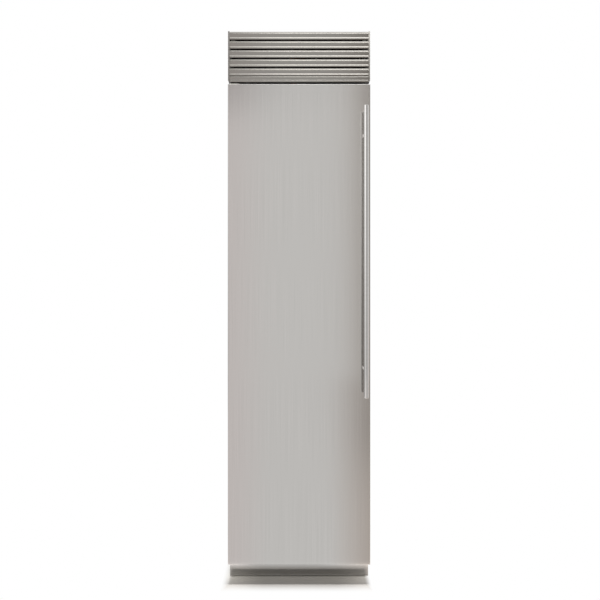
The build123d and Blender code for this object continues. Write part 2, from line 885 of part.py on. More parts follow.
with BuildPart() as shelf_trims:
    for index in range(shelf_count):
        glass_z = lowest_shelf_z + index * shelf_pitch
        for edge_y, inward in ((shelf_front, 1), (shelf_back, -1)):
            with BuildSketch(Plane.YZ.offset(-glass_side)):
                rectangle_between(
                    edge_y - inward * trim_lip,
                    edge_y + inward * trim_depth,
                    glass_z - trim_lip,
                    glass_z + glass + trim_lip / 2,
                )
                rectangle_between(
                    edge_y - inward * fit,
                    edge_y + inward * (trim_depth + overrun),
                    glass_z - fit,
                    glass_z + glass + fit,
                    mode=Mode.SUBTRACT,
                )
            extrude(amount=2 * glass_side)
shelf_trims.part.label = "shelf_trims"
export_step(shelf_trims.part, "parts/shelf_trims.step")

with BuildPart() as shelf_rails:
    for index in range(shelf_count):
        ledge_z = lowest_shelf_z + index * shelf_pitch - fit
        for side in (-1, 1):
            with BuildSketch(front_plane(rail_start)):
                with BuildLine():
                    Polyline(
                        (side * rail_side, ledge_z),
                        (side * (rail_side - rail_width), ledge_z),
                        (side * (rail_side - rail_width), ledge_z - rail_height / 3),
                        (side * rail_side, ledge_z - rail_height),
                        close=True,
                    )
                make_face()
            extrude(amount=-(rail_stop - rail_start))
shelf_rails.part.label = "shelf_rails"
export_step(shelf_rails.part, "parts/shelf_rails.step")

# Drawers on runners

drawer_margin = 27
drawer_room = 79.8
drawer_wall = 3
drawer_setback = 104
drawer_rim = 8
drawer_rim_sheet = 4
drawer_rim_setback = 60
grip_width = 130
grip_height = 26
runner_lap = 5
runner_height = 11
drawer_half = inner_side - drawer_margin
drawer_front = hinge_y + drawer_setback
drawer_back = inner_back - drawer_room
drawer_length = drawer_back - drawer_front

for index, drawer_name in enumerate(("drawer_lower", "drawer_upper")):
    drawer_z = lowest_drawer_z + index * drawer_pitch
    drawer_top = drawer_z + drawer_height
    with BuildPart() as drawer:
        with BuildSketch(Plane.XY.offset(drawer_z)):
            with Locations((0, (drawer_front + drawer_back) / 2)):
                RectangleRounded(2 * drawer_half, drawer_length, bin_radius)
        extrude(amount=drawer_height)
        offset(amount=-drawer_wall, openings=drawer.faces().sort_by(Axis.Z)[-1])
        # Side rims that ride on the runners.
        for side in (-1, 1):
            block_between(
                (
                    side * (drawer_half - drawer_wall),
                    drawer_front + drawer_rim_setback,
                    drawer_top - drawer_rim_sheet,
                ),
                (side * (drawer_half + drawer_rim), drawer_back - bin_radius, drawer_top),
            )
        # Grip cut in the top of the front wall.
        with BuildSketch(front_plane(drawer_front - overrun)):
            with Locations((0, drawer_top)):
                SlotOverall(grip_width, 2 * grip_height)
        extrude(amount=-(drawer_wall + 2 * overrun), mode=Mode.SUBTRACT)
    drawer.part.label = drawer_name
    export_step(drawer.part, f"parts/{drawer_name}.step")

with BuildPart() as drawer_runners:
    for index in range(2):
        runner_z = lowest_drawer_z + index * drawer_pitch + drawer_height - drawer_rim_sheet - fit
        for side in (-1, 1):
            with BuildSketch(front_plane(drawer_front + runner_lap)):
                with BuildLine():
                    Polyline(
                        (side * rail_side, runner_z + runner_height),
                        (side * (drawer_half + drawer_rim + runner_lap), runner_z + runner_height),
                        (side * (drawer_half + drawer_rim + runner_lap), runner_z),
                        (side * (drawer_half + runner_lap - drawer_wall), runner_z),
                        (side * (drawer_half + runner_lap - drawer_wall), runner_z - runner_height / 2),
                        (side * rail_side, runner_z - runner_height),
                        close=True,
                    )
                make_face()
            extrude(amount=-drawer_length)
drawer_runners.part.label = "drawer_runners"
export_step(drawer_runners.part, "parts/drawer_runners.step")

# Cold air: coil, fan and cover at the back

cover_sheet = 2.5
cover_radius = 12
cover_slot = 110
cover_slot_height = 9
cover_slot_pitch = 24
cover_slot_columns = 2
cover_slot_rows = 3
intake_radius = 50
intake_rings = 3
coil_margin = 50
coil_rise = 45
coil_drop = 100
coil_tubes = 3
coil_fins = 13
coil_fin = 1.5
cold_fan_drop = 86
evaporator_fan_z = inner_roof - cold_fan_drop
coil_half = cover_half - coil_margin
coil_bottom = cover_bottom + coil_rise
coil_top = evaporator_fan_z - coil_drop
cover_top = inner_roof - fit
cover_front = inner_back - cover_depth
cover_back = inner_back - fit

with BuildPart() as evaporator_cover:
    with BuildSketch(Plane.XY.offset(cover_bottom)):
        rectangle_between(-cover_half, cover_half, cover_front, cover_back)
    extrude(amount=cover_top - cover_bottom)
    fillet(evaporator_cover.edges().filter_by(Axis.Z).group_by(Axis.Y)[0], cover_radius)
    fillet(evaporator_cover.faces().sort_by(Axis.Z)[0].edges().sort_by(Axis.Y)[0], cover_radius / 2)
    with BuildSketch(Plane.XY.offset(cover_bottom + cover_sheet)):
        rectangle_between(
            -cover_half + cover_sheet,
            cover_half - cover_sheet,
            cover_front + cover_sheet,
            cover_back + overrun,
        )
    extrude(amount=cover_top - cover_bottom + overrun, mode=Mode.SUBTRACT)
    # Outlet slots low on the cover.
    with BuildSketch(front_plane(cover_front - overrun)):
        with Locations((0, (coil_bottom + coil_top) / 2)):
            with GridLocations(
                cover_slot + cover_slot_pitch, cover_slot_pitch, cover_slot_columns, cover_slot_rows
            ):
                SlotOverall(cover_slot, cover_slot_height)
    extrude(amount=-(overrun + 2 * cover_sheet), mode=Mode.SUBTRACT)
    # Ringed intake in front of the fan, its rings held by two crossed bars.
    with BuildSketch(front_plane(cover_front - overrun)):
        with Locations((0, evaporator_fan_z)):
            for ring in range(intake_rings):
                Circle(intake_radius - ring * intake_radius / intake_rings)
                Circle(intake_radius - (ring + 1 / 2) * intake_radius / intake_rings, mode=Mode.SUBTRACT)
            Rectangle(cover_slot_height, 2 * intake_radius, rotation=45, mode=Mode.SUBTRACT)
            Rectangle(cover_slot_height, 2 * intake_radius, rotation=-45, mode=Mode.SUBTRACT)
    extrude(amount=-(overrun + 2 * cover_sheet), mode=Mode.SUBTRACT)
evaporator_cover.part.label = "evaporator_cover"
export_step(evaporator_cover.part, "parts/evaporator_cover.step")

coil_pitch = (coil_top - coil_bottom) / coil_tubes
fin_pitch = (2 * coil_half - coil_fin) / (coil_fins - 1)

with BuildPart() as evaporator:
    for index in range(coil_fins):
        with BuildSketch(Plane.YZ.offset(-coil_half + index * fin_pitch)):
            with Locations((evaporator_y, (coil_bottom + coil_top) / 2)):
                Rectangle(evaporator_depth, coil_top - coil_bottom)
        extrude(amount=coil_fin)
    for index in range(coil_tubes):
        tube_z = coil_bottom + (index + 1 / 2) * coil_pitch
        rod_between((capillary_x, evaporator_y, tube_z), (suction_x, evaporator_y, tube_z), pipe_radius)
    # The coil stands off the liner on two ribs.
    for side in (-1, 1):
        block_between(
            (side * coil_half, evaporator_y, coil_top - coil_pitch),
            (side * (coil_half - coil_fin), inner_back - fit, coil_top),
        )
    for header_x in (capillary_x, suction_x):
        rod_between(
            (header_x, evaporator_y, coil_bottom + coil_pitch / 2),
            (header_x, evaporator_y, coil_top),
            pipe_radius,
        )
evaporator.part.label = "evaporator"
export_step(evaporator.part, "parts/evaporator.step")


def fan_rotor(centre, hub_radius, tip_radius, length, bore, root_chord, tip_chord, blades):
    # Hub with pitched blades, lofted from root to tip, turning about an axis along Y.
    root_pitch = 50
    tip_pitch = 25
    root = hub_radius - length / 8
    thick = length / 10
    with BuildPart() as rotor:
        with BuildSketch(front_plane(centre[1] - length / 2)):
            with Locations((centre[0], centre[2])):
                Circle(hub_radius)
        extrude(amount=-length)
        fillet(rotor.edges().group_by(Axis.Y)[0], hub_radius / 5)
        for index in range(blades):
            angle = radians(index * 360 / blades)
            outward = Vector(cos(angle), 0, sin(angle))
            around = Vector(-sin(angle), 0, cos(angle))
            for reach, chord, pitch in ((root, root_chord, root_pitch), (tip_radius, tip_chord, tip_pitch)):
                with BuildSketch(Plane(Vector(*centre) + outward * reach, x_dir=around, z_dir=outward)):
                    Rectangle(chord, thick, rotation=pitch)
            loft()
        rod_between(
            (centre[0], centre[1] - length, centre[2]),
            (centre[0], centre[1] + length, centre[2]),
            bore,
            mode=Mode.SUBTRACT,
        )
    return rotor.part


shaft_radius = 3
cold_hub = 17
cold_tip = 47
cold_length = 14
cold_chord = 16
cold_tip_chord = 22
cold_blades = 5
cold_ring = 50
cold_ring_wall = 2.5
cold_motor_radius = 17
spoke_width = 6
cold_motor_back = inner_back - fit
cold_fan_gap = 4
cold_fan_y = cover_front + cover_sheet + cold_fan_gap + cold_length / 2
cold_motor_front = cold_fan_y + cold_length / 2 + fit

evaporator_fan = fan_rotor(
    (0, cold_fan_y, evaporator_fan_z),
    cold_hub,
    cold_tip,
    cold_length,
    shaft_radius + running,
    cold_chord,
    cold_tip_chord,
    cold_blades,
)
evaporator_fan.label = "evaporator_fan"
export_step(evaporator_fan, "parts/evaporator_fan.step")

with BuildPart() as evaporator_fan_housing:
    with BuildSketch(front_plane(cold_fan_y - cold_length / 2)):
        with Locations((0, evaporator_fan_z)):
            Circle(cold_ring + cold_ring_wall)
            Circle(cold_ring, mode=Mode.SUBTRACT)
    extrude(amount=-(cold_motor_front + spoke_width - cold_fan_y + cold_length / 2))
    rod_between(
        (0, cold_motor_front, evaporator_fan_z), (0, cold_motor_back, evaporator_fan_z), cold_motor_radius
    )
    rod_between(
        (0, cold_motor_front, evaporator_fan_z),
        (0, cold_fan_y - cold_length / 2, evaporator_fan_z),
        shaft_radius,
    )
    with BuildSketch(front_plane(cold_motor_front)):
        with Locations((0, evaporator_fan_z)):
            for turn in (0, 60, 120):
                Rectangle(2 * cold_ring + cold_ring_wall, spoke_width, rotation=turn)
    extrude(amount=-spoke_width)
evaporator_fan_housing.part.label = "evaporator_fan_housing"
export_step(evaporator_fan_housing.part, "parts/evaporator_fan_housing.step")

strip_depth = 5
strip_width = 12
strip_rise = 30
strip_drop = 36
strip_setback = 60
strip_low = lowest_shelf_z + strip_rise
strip_high = inner_roof - strip_drop

with BuildPart() as light_strips:
    for side in (-1, 1):
        with BuildSketch(Plane.XY.offset(strip_low)):
            with Locations((side * (rail_side - strip_depth / 2), case_front + strip_setback)):
                Rectangle(strip_depth, strip_width)
        extrude(amount=strip_high - strip_low)
    fillet(light_strips.edges().filter_by(Axis.Z), strip_depth / 4)
light_strips.part.label = "light_strips"
export_step(light_strips.part, "parts/light_strips.step")

control_half = 120
control_depth = 60
control_thickness = 8
control_setback = 32
key_radius = 6
key_pitch = 40
key_count = 5
key_depth = 0.6

with BuildPart() as control_panel:
    with BuildSketch(Plane.XY.offset(inner_roof - fit)):
        with Locations((0, case_front + control_setback + control_depth / 2)):
            RectangleRounded(2 * control_half, control_depth, key_radius)
    extrude(amount=-control_thickness)
    chamfer(control_panel.faces().sort_by(Axis.Z)[0].edges(), 2 * key_depth)
    # Plain round touch places, all alike.
    with BuildSketch(Plane.XY.offset(inner_roof - fit - control_thickness)):
        with Locations((0, case_front + control_setback + control_depth / 2)):
            with GridLocations(key_pitch, 0, key_count, 1):
                Circle(key_radius)
    extrude(amount=key_depth, mode=Mode.SUBTRACT)
control_panel.part.label = "control_panel"
export_step(control_panel.part, "parts/control_panel.step")

# Machine compartment behind the grille

drier_x = -5
condenser_inset = 18
condenser_gap = 30
condenser_depth = 50
condenser_setback = 24
condenser_rise = 14
condenser_drop = 50
condenser_tubes = 4
condenser_fins = 17
condenser_plate = 2
condenser_left = condenser_inset - case_side
condenser_right = drier_x - condenser_gap
condenser_low = deck_top + condenser_rise
condenser_high = overall_height - condenser_drop
condenser_y = case_front + condenser_setback + condenser_depth / 2
condenser_pitch = (condenser_high - condenser_low) / condenser_tubes
condenser_fin_pitch = (condenser_right - condenser_left - condenser_plate) / (condenser_fins - 1)
tube_low_z = condenser_low + condenser_pitch / 2
tube_high_z = condenser_high - condenser_pitch / 2

with BuildPart() as condenser:
    for index in range(condenser_fins):
        with BuildSketch(Plane.YZ.offset(condenser_left + index * condenser_fin_pitch)):
            with Locations((condenser_y, (condenser_low + condenser_high) / 2)):
                Rectangle(condenser_depth, condenser_high - condenser_low)
        extrude(amount=coil_fin)
    for index in range(condenser_tubes):
        tube_z = tube_low_z + index * condenser_pitch
        rod_between(
            (condenser_left, condenser_y, tube_z), (condenser_right, condenser_y, tube_z), pipe_radius
        )
    # End plates stand on the deck.
    for plate_x in (condenser_left, condenser_right - condenser_plate):
        block_between(
            (plate_x, condenser_y - condenser_depth / 2, deck_top + fit),
            (plate_x + condenser_plate, condenser_y + condenser_depth / 2, condenser_high + condenser_plate),
        )
condenser.part.label = "condenser"
export_step(condenser.part, "parts/condenser.step")

shroud_depth = 26
shroud_wall = 3
shroud_margin = 7
tip_gap = 4
warm_hub = 22
warm_length = 20
warm_chord = 22
warm_tip_chord = 34
warm_blades = 5
warm_motor_radius = 24
warm_motor_length = 38
shroud_front = condenser_y + condenser_depth / 2 + 2 * plastic
shroud_back = shroud_front + shroud_depth
warm_x = (condenser_left + condenser_right) / 2
shroud_low = deck_top + fit
shroud_high = condenser_high + 2 * condenser_plate
warm_z = (shroud_low + shroud_high) / 2
shroud_bore = (shroud_high - shroud_low) / 2 - shroud_margin
warm_tip = shroud_bore - tip_gap
warm_y = shroud_front + warm_length / 2 + fit
warm_motor_front = warm_y + warm_length / 2 + fit

with BuildPart() as condenser_fan_shroud:
    with BuildSketch(front_plane(shroud_front)):
        rectangle_between(condenser_left, condenser_right, shroud_low, shroud_high)
        with Locations((warm_x, warm_z)):
            Circle(shroud_bore, mode=Mode.SUBTRACT)
    extrude(amount=-shroud_wall)
    with BuildSketch(front_plane(shroud_front)):
        with Locations((warm_x, warm_z)):
            Circle(shroud_bore + shroud_wall)
            Circle(shroud_bore, mode=Mode.SUBTRACT)
    extrude(amount=-shroud_depth)
    with BuildSketch(front_plane(warm_motor_front)):
        with Locations((warm_x, warm_z)):
            for turn in (30, 90, 150):
                Rectangle(2 * shroud_bore + shroud_wall, spoke_width, rotation=turn)
    extrude(amount=-(shroud_back - warm_motor_front))
    rod_between(
        (warm_x, warm_motor_front, warm_z),
        (warm_x, warm_motor_front + warm_motor_length, warm_z),
        warm_motor_radius,
    )
    rod_between(
        (warm_x, warm_motor_front, warm_z), (warm_x, warm_y - warm_length / 2, warm_z), shaft_radius
    )
condenser_fan_shroud.part.label = "condenser_fan_shroud"
export_step(condenser_fan_shroud.part, "parts/condenser_fan_shroud.step")

condenser_fan = fan_rotor(
    (warm_x, warm_y, warm_z),
    warm_hub,
    warm_tip,
    warm_length,
    shaft_radius + running,
    warm_chord,
    warm_tip_chord,
    warm_blades,
)
condenser_fan.label = "condenser_fan"
export_step(condenser_fan, "parts/condenser_fan.step")

compressor_radius = 80
compressor_rise = 14
compressor_drop = 36
compressor_dome = 26
seam_width = 3
seam_height = 8
stub_radius = 5.5
stub_length = 12
mount_x = 70
mount_y = 62
mount_radius = 12
mount_plate = 3
mount_hole = 6
suction_gap = 13
suction_drop = 21
seam_rise = 9
terminal_half = 22
terminal_depth = 20
compressor_x = suction_x
compressor_y = evaporator_y - suction_gap - fit - stub_length - compressor_radius
compressor_low = deck_top + compressor_rise
compressor_high = overall_height - compressor_drop
compressor_middle = (compressor_low + compressor_high) / 2
compressor_seam = compressor_middle + seam_rise
suction_z = compressor_middle - suction_drop
discharge_z = tube_high_z
plate_z = compressor_low + compressor_dome / 3

with BuildPart() as compressor:
    with BuildSketch(Plane.YZ.offset(compressor_x)):
        with BuildLine():
            top = compressor_high - compressor_dome
            base = compressor_low + compressor_dome
            seam = compressor_y + compressor_radius + seam_width
            Polyline(
                (compressor_y + compressor_radius, base),
                (compressor_y + compressor_radius, compressor_seam),
                (seam, compressor_seam),
                (seam, compressor_seam + seam_height),
                (compressor_y + compressor_radius, compressor_seam + seam_height),
                (compressor_y + compressor_radius, top),
            )
            Spline(
                (compressor_y + compressor_radius, top),
                (compressor_y, compressor_high),
                tangents=((0, 1), (-1, 0)),
            )
            Line((compressor_y, compressor_high), (compressor_y, compressor_low))
            Spline(
                (compressor_y, compressor_low),
                (compressor_y + compressor_radius, base),
                tangents=((1, 0), (0, 1)),
            )
        make_face()
    revolve(axis=Axis((compressor_x, compressor_y, 0), (0, 0, 1)))
    with BuildSketch(Plane.XY.offset(plate_z)):
        with Locations((compressor_x, compressor_y)):
            RectangleRounded(2 * (mount_x + mount_radius), 2 * (mount_y + mount_radius), mount_radius)
            with GridLocations(2 * mount_x, 2 * mount_y, 2, 2):
                Circle(mount_hole, mode=Mode.SUBTRACT)
    extrude(amount=mount_plate)
    rod_between(
        (compressor_x, compressor_y, suction_z),
        (compressor_x, compressor_y + compressor_radius + stub_length, suction_z),
        stub_radius,
    )
    rod_between(
        (compressor_x, compressor_y, discharge_z),
        (compressor_x - compressor_radius - stub_length, compressor_y, discharge_z),
        stub_radius,
    )
    # Terminal cover on the front of the shell.
    block_between(
        (compressor_x - terminal_half, compressor_y, suction_z - terminal_half),
        (
            compressor_x + terminal_half,
            compressor_y - compressor_radius - terminal_depth,
            suction_z + terminal_half,
        ),
    )
compressor.part.label = "compressor"
export_step(compressor.part, "parts/compressor.step")

mount_neck = mount_hole - fit

with BuildPart() as compressor_mounts:
    with BuildSketch(Plane.XY.offset(deck_top + fit)):
        with Locations((compressor_x, compressor_y)):
            with GridLocations(2 * mount_x, 2 * mount_y, 2, 2):
                Circle(mount_radius)
    extrude(amount=plate_z - deck_top - 2 * fit)
    with BuildSketch(Plane.XY.offset(plate_z - fit)):
        with Locations((compressor_x, compressor_y)):
            with GridLocations(2 * mount_x, 2 * mount_y, 2, 2):
                Circle(mount_neck)
    extrude(amount=mount_plate + 2 * fit)
    with BuildSketch(Plane.XY.offset(plate_z + mount_plate + fit)):
        with Locations((compressor_x, compressor_y)):
            with GridLocations(2 * mount_x, 2 * mount_y, 2, 2):
                Circle(mount_radius - sheet)
    extrude(amount=mount_plate)
compressor_mounts.part.label = "compressor_mounts"
export_step(compressor_mounts.part, "parts/compressor_mounts.step")

drier_radius = 9
drier_length = 110
drier_setback = 119.5
drier_neck = 16
drier_z = tube_low_z
drier_front = condenser_y + drier_setback
drier_back = drier_front + drier_length

with BuildPart() as filter_drier:
    with BuildSketch(Plane.XY.offset(drier_z)):
        with BuildLine():
            Polyline(
                (drier_x, drier_front),
                (drier_x + pipe_radius, drier_front),
                (drier_x + drier_radius, drier_front + drier_neck),
                (drier_x + drier_radius, drier_back - drier_neck),
                (drier_x + pipe_radius, drier_back),
                (drier_x, drier_back),
                close=True,
            )
        make_face()
    revolve(axis=Axis((drier_x, 0, drier_z), (0, 1, 0)))
filter_drier.part.label = "filter_drier"
export_step(filter_drier.part, "parts/filter_drier.step")

# The discharge line runs forward between the drier and the compressor.
discharge_share = 0.26
discharge_start = compressor_x - compressor_radius - stub_length - fit
drier_side = drier_x + drier_radius
discharge_x = drier_side + discharge_share * (discharge_start - drier_side)
pipe_routes = (
    # Suction line from the cold coil up to the compressor.
    (
        (suction_x, evaporator_y, coil_top + fit),
        (suction_x, evaporator_y, suction_z),
        (suction_x, compressor_y + compressor_radius + stub_length + fit, suction_z),
    ),
    # Discharge line from the compressor to the condenser.
    (
        (discharge_start, compressor_y, discharge_z),
        (discharge_x, compressor_y, discharge_z),
        (discharge_x, condenser_y, tube_high_z),
        (condenser_right + fit, condenser_y, tube_high_z),
    ),
    # Liquid line from the condenser to the drier.
    (
        (condenser_right + fit, condenser_y, tube_low_z),
        (drier_x, condenser_y, tube_low_z),
        (drier_x, drier_front - fit, tube_low_z),
    ),
    # Line from the drier back down to the cold coil.
    (
        (drier_x, drier_back + fit, tube_low_z),
        (drier_x, evaporator_y, tube_low_z),
        (capillary_x, evaporator_y, tube_low_z),
        (capillary_x, evaporator_y, coil_top + fit),
    ),
)

with BuildPart() as refrigerant_pipes:
    for route in pipe_routes:
        with BuildLine() as pipe_line:
            FilletPolyline(*route, radius=pipe_bend)
        with BuildSketch(Plane(origin=route[0], z_dir=Vector(*route[1]) - Vector(*route[0]))):
            Circle(pipe_radius)
        sweep(path=pipe_line.line)
refrigerant_pipes.part.label = "refrigerant_pipes"
export_step(refrigerant_pipes.part, "parts/refrigerant_pipes.step")

# Electronics, with the power rocker on its front

electronics_width = 190
electronics_inset = 23
electronics_setback = 24
electronics_depth = 120
electronics_height = 130
electronics_radius = 8
electronics_lid = 4
rocker_inset = 35
rocker_rise = 68
rocker_half_width = 7
rocker_reach = 10
rocker_front = 4
rocker_back = 5
rocker_lean = 8
rocker_pin = 1.5
rocker_pin_length = 2
rocker_room = 1.2
bezel_rim = 4
bezel_depth = 3
electronics_right = case_side - electronics_inset
electronics_x = electronics_right - electronics_width / 2
electronics_front = case_front + electronics_setback
rocker_x = electronics_right - rocker_inset
rocker_y = electronics_front - bezel_depth / 2
rocker_z = deck_top + rocker_rise
window_half = rocker_half_width + fit
window_reach = rocker_reach + rocker_room

with BuildPart() as electronics_box:
    with BuildSketch(Plane.XY.offset(deck_top + fit)):
        with Locations((electronics_x, electronics_front + electronics_depth / 2)):
            RectangleRounded(electronics_width, electronics_depth, electronics_radius)
    extrude(amount=electronics_height)
    # A groove marks the lid.
    with BuildSketch(Plane.XY.offset(deck_top + electronics_height - 2 * electronics_lid)):
        with Locations((electronics_x, electronics_front + electronics_depth / 2)):
            RectangleRounded(electronics_width + overrun, electronics_depth + overrun, electronics_radius)
            RectangleRounded(
                electronics_width - 2 * sheet,
                electronics_depth - 2 * sheet,
                electronics_radius,
                mode=Mode.SUBTRACT,
            )
    extrude(amount=sheet, mode=Mode.SUBTRACT)
    # Well for the rocker.
    block_between(
        (rocker_x - window_half, electronics_front - overrun, rocker_z - window_reach),
        (rocker_x + window_half, rocker_y + rocker_reach + rocker_room, rocker_z + window_reach),
        mode=Mode.SUBTRACT,
    )
electronics_box.part.label = "electronics_box"
export_step(electronics_box.part, "parts/electronics_box.step")

with BuildPart() as switch_bezel:
    with BuildSketch(front_plane(electronics_front - fit)):
        with Locations((rocker_x, rocker_z)):
            RectangleRounded(2 * (window_half + bezel_rim), 2 * (window_reach + bezel_rim), bezel_rim / 2)
            Rectangle(2 * window_half, 2 * window_reach, mode=Mode.SUBTRACT)
    extrude(amount=bezel_depth)
    rod_between(
        (rocker_x - window_half - rocker_pin_length - fit, rocker_y - fit, rocker_z),
        (rocker_x + window_half + rocker_pin_length + fit, rocker_y - fit, rocker_z),
        rocker_pin + running,
        mode=Mode.SUBTRACT,
    )
switch_bezel.part.label = "switch_bezel"
export_step(switch_bezel.part, "parts/switch_bezel.step")

with BuildPart() as power_rocker:
    # The section leans, because its upper half is pressed in when the power is on.
    lean = radians(rocker_lean)
    with BuildSketch(
        Plane(
            origin=(rocker_x - rocker_half_width, rocker_y - fit, rocker_z),
            x_dir=(0, cos(lean), -sin(lean)),
            z_dir=(1, 0, 0),
        )
    ):
        with BuildLine():
            Polyline(
                (0, rocker_reach),
                (-rocker_front, rocker_reach - sheet),
                (-rocker_front / 2, 0),
                (-rocker_front, sheet - rocker_reach),
                (0, -rocker_reach),
                (rocker_back, 0),
                close=True,
            )
        make_face()
    extrude(amount=2 * rocker_half_width)
    rod_between(
        (rocker_x - window_half - rocker_pin_length, rocker_y - fit, rocker_z),
        (rocker_x + window_half + rocker_pin_length, rocker_y - fit, rocker_z),
        rocker_pin,
    )
power_rocker.part.label = "power_rocker"
export_step(power_rocker.part, "parts/power_rocker.step")

gland_length = 24
gland_flange = 15
gland_flange_sheet = 3
cord_bore = 4

with BuildPart() as cable_gland:
    with BuildSketch(Plane.YZ.offset(gland_x)):
        with BuildLine():
            Polyline(
                (case_back, gland_z + cord_bore),
                (case_back, gland_z + gland_radius),
                (panel_back, gland_z + gland_radius),
                (panel_back, gland_z + gland_flange),
                (panel_back - gland_flange_sheet, gland_z + gland_flange),
                (case_back - gland_length, gland_z + cord_bore + sheet),
                (case_back - gland_length, gland_z + cord_bore),
                close=True,
            )
        make_face()
    revolve(axis=Axis((gland_x, 0, gland_z), (0, 1, 0)))
cable_gland.part.label = "cable_gland"
export_step(cable_gland.part, "parts/cable_gland.step")

# Louvred grille, hinged at its top so that it lifts for service

cheek = 2
cheek_rim = 6
cheek_corner = 12
grille_chamfer = 5
pivot_pin = 4
pivot_ear = 9
slat_count = 6
last_slat_share = 0.664
slat_gap = 3.1
last_slat_gap = 0.8
slat_sheet = 1.4
slat_bend = 2.4
slat_nose = 9
last_slat_nose = 3.4
slat_depth = 24
slat_cover = 18
slat_fall = 22
slat_lean = 12
bead_top = 8.5
bead_crest = 3
bead_proud = 0.3
bead_back = 3
slat_lip = 13
slat_lip_rise = 2.5
stay_sheet = 2
stay_depth = 10
stay_inset = 144
ear_width = 22
grille_side = door_side - grille_inset
stay_x = grille_side - stay_inset
ear_side = grille_side - cheek - fit
grille_front = door_front
grille_back = case_front - fit
pivot_y = grille_back - cheek_corner
pivot_z = overall_height - cheek_corner
slat_end = grille_side - cheek_rim - fit
slat_top = overall_height
slat_span = slat_top - grille_bottom + slat_gap - last_slat_gap
slat_pitch = slat_span / (slat_count - 1 + last_slat_share)
slat_height = slat_pitch - slat_gap
last_slat_height = last_slat_share * slat_pitch


def slat_path(high_z, low_z, nose_radius):
    # Middle line of one formed slat: a top falling to the back, a round nose, a leaning face,
    # a bead and a lip turned back.
    near_y = grille_front + slat_sheet / 2
    nose = CenterArc(
        (near_y + nose_radius, high_z - nose_radius),
        nose_radius,
        90 - slat_fall,
        90 + slat_fall + slat_lean,
    )
    roll_start = nose @ 0
    roll_end = nose @ 1
    top_run = near_y + slat_depth - slat_sheet - roll_start.X
    face_drop = roll_end.Y - low_z - bead_top
    Line(roll_start + Vector(top_run, -top_run * tan(radians(slat_fall))), roll_start)
    FilletPolyline(
        roll_end,
        (roll_end.X + face_drop * tan(radians(slat_lean)), low_z + bead_top),
        (near_y + bead_proud, low_z + bead_crest),
        (near_y + bead_back, low_z),
        (near_y + bead_back + slat_lip, low_z + slat_lip_rise),
        radius=slat_bend,
    )


with BuildPart() as grille_slats:
    for index in range(slat_count - 1):
        high_z = slat_top - index * slat_pitch - slat_sheet / 2
        with BuildSketch(Plane.YZ.offset(-slat_end)):
            with BuildLine():
                slat_path(high_z, high_z + slat_sheet - slat_height, slat_nose)
            trace(line_width=slat_sheet)
        extrude(amount=2 * slat_end)
    # The last slat is shorter, with a tighter nose, and ends level with the frame.
    with BuildSketch(Plane.YZ.offset(-slat_end)):
        with BuildLine():
            last_low_z = grille_bottom + slat_sheet / 2
            slat_path(last_low_z + last_slat_height - slat_sheet, last_low_z, last_slat_nose)
        trace(line_width=slat_sheet)
    extrude(amount=2 * slat_end)
grille_slats.part.label = "grille_slats"
export_step(grille_slats.part, "parts/grille_slats.step")

with BuildPart() as grille_frame:
    for side in (-1, 1):
        # Side cheek, round about the pivot so that it clears the case.
        with BuildSketch(Plane.YZ.offset(side * grille_side)):
            rectangle_between(grille_front, pivot_y, grille_bottom, overall_height)
            rectangle_between(grille_front, grille_back, grille_bottom, pivot_z)
            with Locations((pivot_y, pivot_z)):
                Circle(cheek_corner)
                Circle(pivot_pin + running, mode=Mode.SUBTRACT)
        extrude(amount=-side * cheek)
        # Narrow front rail beside the slats.
        block_between(
            (side * (grille_side - cheek_rim), grille_front, grille_bottom),
            (side * grille_side, grille_front + cheek, overall_height),
        )
        # Stays hang from the top and carry the backs of the slats.
        block_between(
            (side * stay_x - stay_sheet / 2, grille_front + slat_depth + fit, grille_bottom + slat_bend),
            (
                side * stay_x + stay_sheet / 2,
                grille_front + slat_depth + stay_depth,
                overall_height - cheek / 2,
            ),
        )
    # The top runs back from over the first slat, deeper between the pivots than beside them.
    block_between(
        (-grille_side, grille_front + slat_cover, overall_height - cheek),
        (grille_side, pivot_y - pivot_ear, overall_height),
    )
    block_between(
        (ear_width - ear_side + cheek, grille_front + slat_cover, overall_height - cheek),
        (ear_side - ear_width - cheek, pivot_y, overall_height),
    )
    # The lower outer corners are cut off at 45 degrees.
    with BuildSketch(front_plane(grille_front - overrun)):
        for side in (-1, 1):
            with BuildLine():
                Polyline(
                    (side * (grille_side - grille_chamfer - overrun), grille_bottom - overrun),
                    (side * (grille_side + overrun), grille_bottom - overrun),
                    (side * (grille_side + overrun), grille_bottom + grille_chamfer + overrun),
                    close=True,
                )
            make_face()
    extrude(amount=-(grille_back - grille_front + 2 * overrun), mode=Mode.SUBTRACT)
grille_frame.part.label = "grille_frame"
export_step(grille_frame.part, "parts/grille_frame.step")

ear_sheet = 3
ear_drop = 30
ear_rise = 3
ear_back = liner_front - fit

with BuildPart() as grille_pivots:
    for side in (-1, 1):
        with BuildSketch(Plane.YZ.offset(side * ear_side)):
            rectangle_between(pivot_y, ear_back, pivot_z - pivot_ear, pivot_z + ear_rise)
            with Locations((pivot_y, pivot_z)):
                Circle(pivot_ear)
        extrude(amount=-side * ear_sheet)
        # Flange screwed to the return of the side panel.
        block_between(
            (side * (ear_side - ear_width), ear_back - ear_sheet, pivot_z - ear_drop),
            (side * ear_side, ear_back, pivot_z + ear_rise),
        )
        rod_between(
            (side * (ear_side - ear_sheet), pivot_y, pivot_z),
            (side * (grille_side - fit), pivot_y, pivot_z),
            pivot_pin,
        )
grille_pivots.part.label = "grille_pivots"
export_step(grille_pivots.part, "parts/grille_pivots.step")
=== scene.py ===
import json
import math

